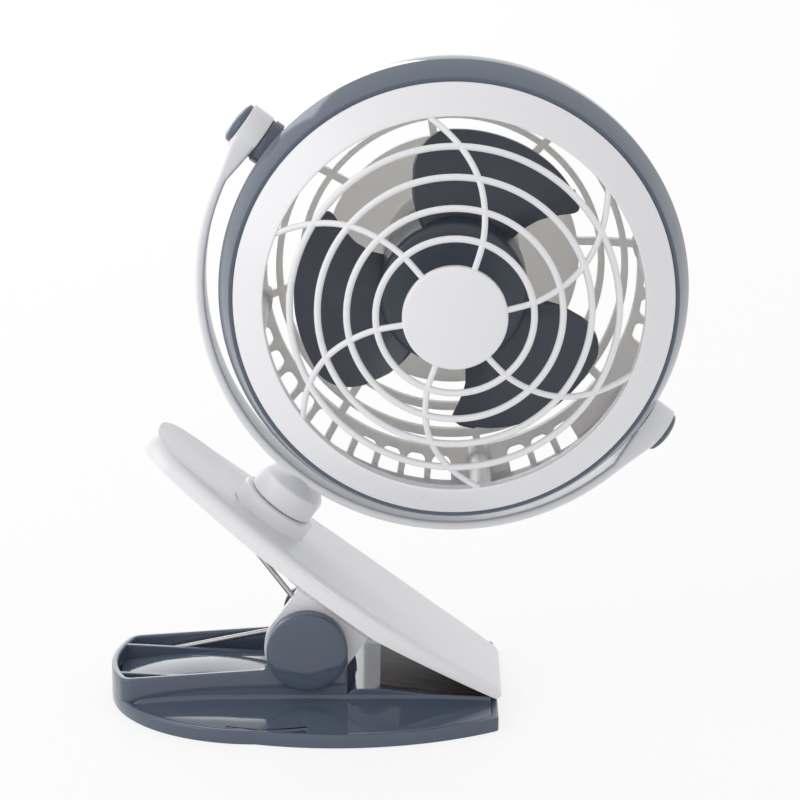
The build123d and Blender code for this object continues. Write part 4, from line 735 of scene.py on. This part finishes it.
class CLIPFAN_OT_yoke(bpy.types.Operator):
    """Half-ring yoke with its two drums and the neck that swivels on the clip"""
    bl_idname = "clip_fan.yoke"
    bl_label = "Yoke"

    def execute(self, context):
        mesh = bmesh.new()
        sections = [self.section(inner, outer) for inner, outer in self.spine()]
        skin(mesh, sections, caps=True)
        neck = [(0, NECK_TOP, 0), (NECK_TOP_RADIUS, NECK_TOP, 0), (NECK_RADIUS, NECK_SHOULDER, 1.8),
                (NECK_RADIUS, NECK_FOOT, 0.5), (SPIGOT_RADIUS, NECK_FOOT, 0),
                (SPIGOT_RADIUS, SPIGOT_END, 0.4), (0, SPIGOT_END, 0)]
        lathe(mesh, rounded(neck), 96, axis="y")
        for side in (-1, 1):
            drum = [(SCREW_BORE, END_INNER, 0), (BOSS_RADIUS, END_INNER, 0.5), (BOSS_RADIUS, END_OUTER, 0.9),
                    (CAP_RECESS, END_OUTER, 0.2), (CAP_RECESS, CAP_SEAT, 0), (SCREW_RECESS, CAP_SEAT, 0),
                    (SCREW_RECESS, SCREW_SEAT, 0), (SCREW_BORE, SCREW_SEAT, 0)]
            lathe(mesh, rounded([(radius, side * out, edge) for radius, out, edge in drum]), 96, axis="x")
        build("yoke_arch", mesh, "yoke", "white_abs", ["yoke"])
        return {"FINISHED"}

    @staticmethod
    def spine():
        """Inner and outer points along the half ring, which thickens towards its two ends."""
        near = [((END_INNER, -y), (END_OUTER - END_SKIN, -y)) for y in (0.0, 2.4, 4.7)]
        turned = [(math.cos(math.radians(a)), math.sin(math.radians(a))) for a in range(12, 169)]
        ring = [((ARCH_INNER * c, -ARCH_INNER * s), (ARCH_OUTER * c, -ARCH_OUTER * s)) for c, s in turned]
        blend = []
        for t in (k / 6 for k in range(1, 6)):
            blend.append([tuple(a + (b - a) * t for a, b in zip(low, high))
                          for low, high in zip(near[-1], ring[0])])
        right = near + blend
        left = [[(-x, y) for x, y in pair] for pair in reversed(right)]
        return right + ring + left

    @staticmethod
    def section(inner, outer):
        """The band's rounded section between an inner and an outer point."""
        inner, outer = Vector(inner), Vector(outer)
        across, depth, half = (outer - inner).normalized(), (outer - inner).length, YOKE_HALF_WIDTH
        flat = rounded([(0, -half, YOKE_EDGE), (depth, -half, YOKE_EDGE),
                        (depth, half, YOKE_EDGE), (0, half, YOKE_EDGE)])
        return [Vector((*(inner + across * p[0]), p[1])) for p in flat]


class CLIPFAN_OT_pivots(bpy.types.Operator):
    """Domed caps, screws and friction washers at the two ends of the yoke"""
    bl_idname = "clip_fan.pivots"
    bl_label = "Pivots"

    def execute(self, context):
        for side, word in ((-1, "left"), (1, "right")):
            mesh = bmesh.new()
            dome = [(CAP_RADIUS * math.sin(a), side * (END_OUTER + CAP_RIM + CAP_DOME * math.cos(a)), 0)
                    for a in (math.radians(9 * k) for k in range(10))]
            lathe(mesh, rounded(dome + [(CAP_RADIUS, side * END_OUTER, 0.2), (0, side * END_OUTER, 0)]), 96,
                  axis="x")
            build("domed_cap_" + word, mesh, "yoke", "slate_abs", ["pivot_cap_" + word])
            from_node("pivot_screw_" + word, "steel")
            from_node("pivot_washer_" + word, "fibre_washer")
        return {"FINISHED"}


class CLIPFAN_OT_swivel(bpy.types.Operator):
    """Washer and screw that hold the yoke in the clip"""
    bl_idname = "clip_fan.swivel"
    bl_label = "Swivel"

    def execute(self, context):
        from_node("swivel_washer", "steel")
        from_node("swivel_screw", "steel")
        return {"FINISHED"}


# ---------------------------------------------------------------- clip
class CLIPFAN_OT_upper_clip(bpy.types.Operator):
    """White upper half of the clip and the pad under its tip"""
    bl_idname = "clip_fan.upper_clip"
    bl_label = "Upper clip"

    def execute(self, context):
        from_node("clip_jaw", "white_abs", name="upper_clip")
        from_node("jaw_pad", "dark_rubber", name="upper_pad")
        return {"FINISHED"}


FOOT_END = Vector((-16.0, 0.0))        # middle of the foot's round end
FOOT_END_RADIUS = 50.0
FOOT_EDGE = Vector((9.6, 42.0))        # middle of the near long edge's arc
FOOT_EDGE_RADIUS = 95.5
FOOT_CORNER = 38.0                     # rounding where the two meet
FOOT_TIP = 62.7
TIP_CORNER = 2.0
FOOT_FLOOR = 3.0                       # what stands on the foot starts at this height, inside it
# Across the foot's rim, from its underside round its edge: inset and height.
FOOT_RIM = ((0.5, 0.0), (0.15, 0.12), (0.0, 0.5), (0.0, 4.0), (0.06, 4.3), (0.24, 4.52), (0.5, 4.66),
            (0.8, 4.7), (1.7, 4.7), (2.0, 4.62), (2.2, 4.42), (2.34, 4.1), (2.42, 3.6), (2.5, FOOT_FLOOR))
HANDLE_HALF_WIDTH = 22.7
HANDLE_CORNER = 5.0
HANDLE_FRONT = 12.6                    # the handle's walls end here, past the hinge
HANDLE_LENGTH = 66.0                   # from its round end to the hinge
HANDLE_LOW = 12.0                      # height of the walls at the round end
HANDLE_RISE = 4.6
# Across the handle's wall: inset and drop below its top, or no drop where it meets the foot.
HANDLE_WALL = ((0.03, None), (0.03, 0.7), (0.1, 0.35), (0.3, 0.1), (0.65, 0.0), (1.6, 0.0), (1.95, 0.1),
               (2.12, 0.35), (2.2, 0.7), (2.3, None))
# The foot's top beside the handle, its hollow as distance from the wall and height above the top.
APRON_EDGE = 2.3
APRON_HEIGHT = 3.74
APRON_START = 0.2                      # from where the handle's wall leaves the foot's round end
APRON_HOLLOW = ((-0.3, 1.6), (0.02, 1.5), (0.16, 0.95), (0.36, 0.56), (0.64, 0.28), (1.0, 0.1), (1.5, 0.0))
APRON_CROWN = 2.0                      # most that it rises towards the wall
CROWN_SLOPE = 0.085                    # and that rise as a share of its reach, where it is narrow
RIB_PLACE = 14.0                       # the two ribs along the handle, either side of its middle
RIB_HALF = 0.9
RIB_START = -62.6
RIB_END = -14.0
RIB_HIGH = 12.1
RIB_LOW = 9.5
REST_START = -54.0                     # the block that the spring's lower leg rests on
REST_END = -46.0
REST_INNER = 14.5
REST_OUTER = 21.5
REST_HEIGHT = 7.9
EAR_NEAR_RADIUS = 13.3
EAR_FAR_RADIUS = 9.0
EAR_FILLET = 2.3
EAR_INNER = 19.7
EAR_OUTER = 22.64
HINGE_HEIGHT = 22.4
BLOCK_START = 12.4
BLOCK_NOSE = 4.6                       # radius of the block's nose, by the hinge
BLOCK_HEIGHT = 9.2
BLOCK_LEVEL_END = 24.0                 # the block's top slopes from here down to its tip
BLOCK_TIP = 62.6
BLOCK_TIP_HEIGHT = 4.65
BLOCK_FOOT = 1.0
BLOCK_HALF_WIDTH = 22.66
# The raised floor inside the handle: a shallow dome between the ribs.
FLOOR_START = -63.2
FLOOR_LENGTH = 49.6
FLOOR_HALF_WIDTH = 13.1
FLOOR_DROP = 5.4                       # below the tops of the walls
FLOOR_ARCH = 0.9                       # rise of its middle along the handle
FLOOR_BULGE = 1.3                      # and across it


def meet(first, radius, second, other):
    """Where two circles cross on the near side of the foot, which is the smaller y."""
    apart = second - first
    along = (radius ** 2 - other ** 2 + apart.length_squared) / (2 * apart.length)
    off = math.sqrt(max(0.0, radius ** 2 - along ** 2))
    way = apart.normalized()
    both = [first + way * along + Vector((-way.y, way.x)) * off * k for k in (-1, 1)]
    return min(both, key=lambda p: p.y)


def heading(start, end):
    """Direction from one point to another, in degrees."""
    return math.degrees(math.atan2(end.y - start.y, end.x - start.x)) % 360.0


def swept(middle, radius, start, end, steps):
    """Points round a middle between two directions."""
    return [middle + polar(radius, start + (end - start) * k / steps).to_2d() for k in range(steps + 1)]


def foot_half(inset):
    """The near half of the foot's outline, from the middle of its round end to the middle of its tip."""
    corner = FOOT_CORNER - inset
    at = meet(FOOT_END, FOOT_END_RADIUS - inset - corner, FOOT_EDGE, FOOT_EDGE_RADIUS - inset - corner)
    first, second = heading(FOOT_END, at), heading(FOOT_EDGE, at)
    nose = max(TIP_CORNER - inset, 0.4)
    tip_x = FOOT_TIP - inset - nose
    drop = math.sqrt((FOOT_EDGE_RADIUS - inset - nose) ** 2 - (tip_x - FOOT_EDGE.x) ** 2)
    tip = Vector((tip_x, FOOT_EDGE.y - drop))
    third = heading(FOOT_EDGE, tip)
    return (swept(FOOT_END, FOOT_END_RADIUS - inset, 180.0, first, 30) + swept(at, corner, first, second, 12)
            + swept(FOOT_EDGE, FOOT_EDGE_RADIUS - inset, second, third, 90)
            + swept(tip, nose, third, 360.0, 10)
            + [Vector((FOOT_TIP - inset, tip.y * (1 - k / 8))) for k in range(1, 9)])


def foot_loop(inset, height):
    """The whole outline of the foot at a height, drawn in by an inset."""
    near = foot_half(inset)
    far = [Vector((p.x, -p.y)) for p in reversed(near)][1:-1]
    return [Vector((*p, height)) for p in near + far]


def handle_height(x):
    """Height of the handle's sloping walls."""
    return HANDLE_LOW + (x + HANDLE_LENGTH) / HANDLE_LENGTH * HANDLE_RISE


def handle_path(inset):
    """The handle's wall from above: along the near side, round the end and back."""
    half, inward = HANDLE_HALF_WIDTH - inset, HANDLE_HALF_WIDTH - HANDLE_CORNER
    at = Vector((FOOT_END.x - math.sqrt((FOOT_END_RADIUS - HANDLE_CORNER) ** 2 - inward ** 2), -inward))
    turn = heading(FOOT_END, at)
    side = [Vector((HANDLE_FRONT + (at.x - HANDLE_FRONT) * k / 20, -half)) for k in range(20)]
    near = (side + swept(at, HANDLE_CORNER - inset, 270.0, turn, 10)
            + swept(FOOT_END, FOOT_END_RADIUS - inset, turn, 180.0, 20))
    return near + [Vector((p.x, -p.y)) for p in reversed(near[:-1])]


class CLIPFAN_OT_clip_base(bpy.types.Operator):
    """Slate foot with its rim, handle, ears and sloping block, and its pads"""
    bl_idname = "clip_fan.clip_base"
    bl_label = "Clip base"

    def execute(self, context):
        mesh = bmesh.new()
        skin(mesh, [foot_loop(inset, height) for inset, height in FOOT_RIM], caps=True)
        paths = [handle_path(inset) for inset, _ in HANDLE_WALL]
        sections = []
        for k in range(len(paths[0])):
            top = handle_height(paths[0][k].x)
            sections.append([Vector((*path[k], FOOT_FLOOR if drop is None else top - drop))
                             for path, (_, drop) in zip(paths, HANDLE_WALL)])
        skin(mesh, sections, caps=True)
        for side in (-1, 1):
            self.add_apron(mesh, side)
        build("clip_foot", mesh, "base", "slate_abs", ["base_jaw"], Matrix.Identity(4), 40)
        mesh = bmesh.new()
        self.add_blocks(mesh)
        ears = build("clip_ears", mesh, "base", "slate_abs", ["base_jaw"], Matrix.Identity(4), 30)
        soften(ears, 0.6, 4, 30)
        from_node("base_pad", "dark_rubber", name="lower_pad")
        from_node("foot_pads", "dark_rubber", name="foot_discs")
        return {"FINISHED"}

    @staticmethod
    def add_apron(mesh, side):
        """The foot's top beside the handle: it falls gently from a hollow at the wall to the rim."""
        edge = foot_half(APRON_EDGE)
        start = FOOT_END.x - math.sqrt((FOOT_END_RADIUS - APRON_EDGE) ** 2 - HANDLE_HALF_WIDTH ** 2)
        length = FOOT_TIP - APRON_EDGE - start - APRON_START
        rows = []
        for k in range(121):
            x = start + APRON_START + length * k / 120
            low, high = next((a, b) for a, b in zip(edge, edge[1:]) if a.x <= x <= b.x or b.x <= x <= a.x)
            reach = -(low.y + (high.y - low.y) * (x - low.x) / ((high.x - low.x) or 1)) - HANDLE_HALF_WIDTH
            hollow = [(d, rise) for d, rise in APRON_HOLLOW if d < reach * 0.5]
            last = hollow[-1][0]
            steps = [last + (reach - last) * j / 12 for j in range(1, 13)]
            spare = len(APRON_HOLLOW) - len(hollow)
            profile = hollow + [(steps[0], 0.0)] * spare + [(d, 0.0) for d in steps]
            crown = min(APRON_CROWN, reach * CROWN_SLOPE)
            row = []
            for d, rise in profile:
                z = APRON_HEIGHT + crown * (1 - (max(d, 0) / max(reach, 0.1)) ** 2) + rise * min(1, reach / 4)
                row.append(mesh.verts.new((x, side * (HANDLE_HALF_WIDTH + d), z)))
            rows.append(row)
        for low, high in zip(rows, rows[1:]):
            for a, b, c, d in zip(low, low[1:], high[1:], high):
                if (a.co - b.co).length > 1e-4:
                    mesh.faces.new((a, b, c, d))

    @staticmethod
    def add_blocks(mesh):
        """Ribs, spring rest, ears and the sloping block under the pad."""
        def across(x, z, y):
            return Vector((x, y, z))

        for y in (-RIB_PLACE, RIB_PLACE):
            rib = [(RIB_START, FOOT_FLOOR), (RIB_START, RIB_HIGH), (RIB_END, RIB_LOW), (RIB_END, FOOT_FLOOR)]
            prism(mesh, rib, y - RIB_HALF, y + RIB_HALF, across)
        rest = [(REST_START, FOOT_FLOOR), (REST_START, REST_HEIGHT), (REST_END, REST_HEIGHT),
                (REST_END, FOOT_FLOOR)]
        prism(mesh, rest, REST_INNER, REST_OUTER, across)
        sections = []
        for k in range(41):
            x = FLOOR_START + FLOOR_LENGTH * k / 40
            rise = math.sin(math.pi * (k + 2) / 44)
            level = handle_height(x) - FLOOR_DROP + FLOOR_ARCH * rise
            dome = [(y, level + FLOOR_BULGE * rise * (1 - (y / FLOOR_HALF_WIDTH) ** 2))
                    for y in (-FLOOR_HALF_WIDTH + 2 * FLOOR_HALF_WIDTH * j / 24 for j in range(25))]
            under = [(FLOOR_HALF_WIDTH, FOOT_FLOOR), (-FLOOR_HALF_WIDTH, FOOT_FLOOR)]
            sections.append([Vector((x, y, z)) for y, z in dome + under])
        skin(mesh, sections, caps=True)
        for side, radius in ((-1, EAR_NEAR_RADIUS), (1, EAR_FAR_RADIUS)):
            foot = -radius - EAR_FILLET
            top = handle_height(foot)
            hollow = [(foot + EAR_FILLET * math.sin(a), top + EAR_FILLET - EAR_FILLET * math.cos(a))
                      for a in (math.radians(10 * k) for k in range(10))]
            crown = [(radius * math.cos(a), HINGE_HEIGHT + radius * math.sin(a))
                     for a in (math.radians(180 - 5 * k) for k in range(37))]
            outline = [(foot, FOOT_FLOOR)] + hollow + crown + [(radius, FOOT_FLOOR)]
            prism(mesh, outline, side * EAR_INNER, side * EAR_OUTER, across)
        nose = [(BLOCK_START + BLOCK_NOSE - BLOCK_NOSE * math.cos(a),
                 BLOCK_HEIGHT - BLOCK_NOSE + BLOCK_NOSE * math.sin(a))
                for a in (math.radians(9 * k) for k in range(11))]
        slope = [(BLOCK_LEVEL_END, BLOCK_HEIGHT), (BLOCK_TIP, BLOCK_TIP_HEIGHT), (BLOCK_TIP, BLOCK_FOOT)]
        block = [(BLOCK_START, BLOCK_FOOT)] + nose + slope
        prism(mesh, block, -BLOCK_HALF_WIDTH, BLOCK_HALF_WIDTH, across)


NEAR_DISC = 13.3
FAR_DISC = 8.4
DISC_FACE = 25.1
DISC_SHOULDER = 24.6
DISC_BACK = 22.7


class CLIPFAN_OT_hinge(bpy.types.Operator):
    """Hinge pin, sleeve and the two plain cover discs"""
    bl_idname = "clip_fan.hinge"
    bl_label = "Hinge"

    def execute(self, context):
        from_node("hinge_pin", "steel")
        from_node("spring_sleeve", "white_abs")
        for side, word, radius in ((-1, "near", NEAR_DISC), (1, "far", FAR_DISC)):
            mesh = bmesh.new()
            face, shoulder, back = side * DISC_FACE, side * DISC_SHOULDER, side * DISC_BACK
            flat = [(r * radius, face, 0) for r in (0, 0.45, 0.87)]
            lathe(mesh, rounded(flat + [(radius, shoulder, 0.9), (radius, back, 0.3), (0, back, 0)]), 128,
                  axis="y", at=HINGE / MM)
            build("hinge_disc_" + word, mesh, "base", "slate_abs", ["hinge_cap_" + word], Matrix.Identity(4))
        return {"FINISHED"}


class CLIPFAN_OT_spring(bpy.types.Operator):
    """Torsion spring of drawn wire, with one leg in the handle and one under the upper clip"""
    bl_idname = "clip_fan.spring"
    bl_label = "Spring"

    def execute(self, context):
        from_node("spring_coil", "steel")
        from_node("spring_upper_leg", "steel")
        return {"FINISHED"}


# ---------------------------------------------------------------- stage
CAMERA_TARGET = Vector((30.5, 0.0, 101.7)) * MM
CAMERA_DISTANCE = 1182.7 * MM
CAMERA_ELEVATION = 15.5
CAMERA_AZIMUTH = 0.0
# The soft boxes' places and sizes, in metres.
KEY_BOX = (-1.5, -0.7, 0.9)
KEY_SIZE = 1.5
REAR_BOX = (-0.5, 1.5, 0.55)
REAR_SIZE = 1.0
REAR_SHARE = 0.5          # of the main soft box's power
FLOOR_RADIUS = 6.0
FLOOR_GLOW = 0.8          # share of plain white that the camera and reflections see in the floor


class CLIPFAN_OT_stage(bpy.types.Operator):
    """Pale floor, soft light and the camera at the photograph's angle"""
    bl_idname = "clip_fan.stage"
    bl_label = "Stage"

    def execute(self, context):
        settings = context.scene.clip_fan.stage
        self.add_floor(tuple(settings.floor))
        self.add_world(settings.fill)
        self.add_soft_box("Key_Soft_Box", KEY_BOX, KEY_SIZE, settings.key)
        self.add_soft_box("Rear_Soft_Box", REAR_BOX, REAR_SIZE, settings.key * REAR_SHARE)
        self.add_camera()
        context.scene.view_settings.view_transform = "Standard"
        return {"FINISHED"}

    @staticmethod
    def add_floor(colour):
        """A wide floor that reads white to the camera and keeps the fan's soft shadow."""
        made, tree, surface, place = new_material("Painted_Studio_Floor", {"Roughness": 0.6})
        speck = add_node(tree, "ShaderNodeTexNoise", {"Scale": per_metre(60), "Detail": 2.0},
                         {"Vector": place})
        dark = tuple(c * 0.99 for c in colour) + (1,)
        tint = add_node(tree, "ShaderNodeMix", {"data_type": "RGBA", 6: dark, 7: colour + (1,)},
                        {0: speck.outputs[0]})
        tree.links.new(tint.outputs[2], surface.inputs["Base Color"])
        glow = add_node(tree, "ShaderNodeEmission", {"Color": (1, 1, 1, 1), "Strength": 1.0})
        ray = add_node(tree, "ShaderNodeLightPath")
        seen = add_node(tree, "ShaderNodeMath", {"operation": "MAXIMUM"},
                        {0: ray.outputs["Is Camera Ray"], 1: ray.outputs["Is Glossy Ray"]})
        share = add_node(tree, "ShaderNodeMath", {"operation": "MULTIPLY", 1: FLOOR_GLOW},
                         {0: seen.outputs[0]})
        mixed = add_node(tree, "ShaderNodeMixShader", None,
                         {0: share.outputs[0], 1: surface.outputs[0], 2: glow.outputs[0]})
        tree.links.new(mixed.outputs[0], node_of(tree, "ShaderNodeOutputMaterial").inputs["Surface"])
        mesh = bmesh.new()
        bmesh.ops.create_circle(mesh, cap_ends=True, radius=FLOOR_RADIUS, segments=96)
        data = bpy.data.meshes.new("studio_floor")
        mesh.to_mesh(data)
        mesh.free()
        data.materials.append(made)
        floor = bpy.data.objects.new("studio_floor", data)
        bpy.context.scene.collection.objects.link(floor)

    @staticmethod
    def add_world(fill):
        """Even white light from all round; the camera and reflections see plain white."""
        world = bpy.data.worlds.new("Studio_Light")
        world.use_nodes = True
        tree = world.node_tree
        tree.nodes.clear()
        ray = add_node(tree, "ShaderNodeLightPath")
        seen = add_node(tree, "ShaderNodeMath", {"operation": "MAXIMUM"},
                        {0: ray.outputs["Is Camera Ray"], 1: ray.outputs["Is Transmission Ray"]})
        mirror = add_node(tree, "ShaderNodeMath", {"operation": "MAXIMUM"},
                          {0: seen.outputs[0], 1: ray.outputs["Is Glossy Ray"]})
        strength = add_node(tree, "ShaderNodeMix", {"data_type": "FLOAT", 2: fill, 3: 1.0},
                            {0: mirror.outputs[0]})
        back = add_node(tree, "ShaderNodeBackground", {"Color": (1, 1, 1, 1)},
                        {"Strength": strength.outputs[0]})
        add_node(tree, "ShaderNodeOutputWorld", None, {"Surface": back.outputs[0]})
        bpy.context.scene.world = world

    @staticmethod
    def add_soft_box(name, place, size, power):
        """A square soft box that faces the fan."""
        lamp = bpy.data.lights.new(name, "AREA")
        lamp.size, lamp.energy = size, power
        box = bpy.data.objects.new(name, lamp)
        box.location = place
        box.rotation_euler = (CAMERA_TARGET - Vector(place)).to_track_quat("-Z", "Y").to_euler()
        bpy.context.scene.collection.objects.link(box)

    @staticmethod
    def add_camera():
        """Camera where the photograph was taken from."""
        lens = bpy.data.cameras.new("Photo_Camera")
        lens.sensor_width, lens.lens = 36.0, 162.0
        camera = bpy.data.objects.new("Photo_Camera", lens)
        lift, swing = math.radians(CAMERA_ELEVATION), math.radians(CAMERA_AZIMUTH)
        back = Vector((math.sin(swing) * math.cos(lift), -math.cos(swing) * math.cos(lift), math.sin(lift)))
        camera.location = CAMERA_TARGET + back * CAMERA_DISTANCE
        camera.rotation_euler = (-back).to_track_quat("-Z", "Y").to_euler()
        bpy.context.scene.collection.objects.link(camera)
        bpy.context.scene.camera = camera


# ---------------------------------------------------------------- panel and registration
OPERATORS = (CLIPFAN_OT_front_guard, CLIPFAN_OT_middle_ring, CLIPFAN_OT_rear_guard, CLIPFAN_OT_impeller,
             CLIPFAN_OT_motor, CLIPFAN_OT_controls, CLIPFAN_OT_yoke, CLIPFAN_OT_pivots, CLIPFAN_OT_swivel,
             CLIPFAN_OT_upper_clip, CLIPFAN_OT_clip_base, CLIPFAN_OT_hinge, CLIPFAN_OT_spring,
             CLIPFAN_OT_stage)


class CLIPFAN_PT_pieces(bpy.types.Panel):
    """Lists the fan's pieces and settings"""
    bl_idname = "CLIPFAN_PT_pieces"
    bl_label = "Clip Fan"
    bl_space_type = "VIEW_3D"
    bl_region_type = "UI"
    bl_category = "Clip Fan"

    def draw(self, context):
        settings = context.scene.clip_fan
        for group in (settings.finish, settings.guard, settings.impeller, settings.stage):
            box = self.layout.box()
            for name in group.__annotations__:
                box.prop(group, name)
        for operator in OPERATORS:
            self.layout.operator(operator.bl_idname)


CLASSES = (FinishSettings, GuardSettings, ImpellerSettings, StageSettings, ClipFanSettings,
           *OPERATORS, CLIPFAN_PT_pieces)


def register():
    """Register every class and the scene's settings."""
    for made in CLASSES:
        bpy.utils.register_class(made)
    bpy.types.Scene.clip_fan = PointerProperty(type=ClipFanSettings)


def unregister():
    """Take the settings and classes away again."""
    del bpy.types.Scene.clip_fan
    for made in reversed(CLASSES):
        bpy.utils.unregister_class(made)


def main():
    """Build every piece."""
    register()
    for operator in OPERATORS:
        group, name = operator.bl_idname.split(".")
        getattr(getattr(bpy.ops, group), name)()


if __name__ == "__main__":
    main()
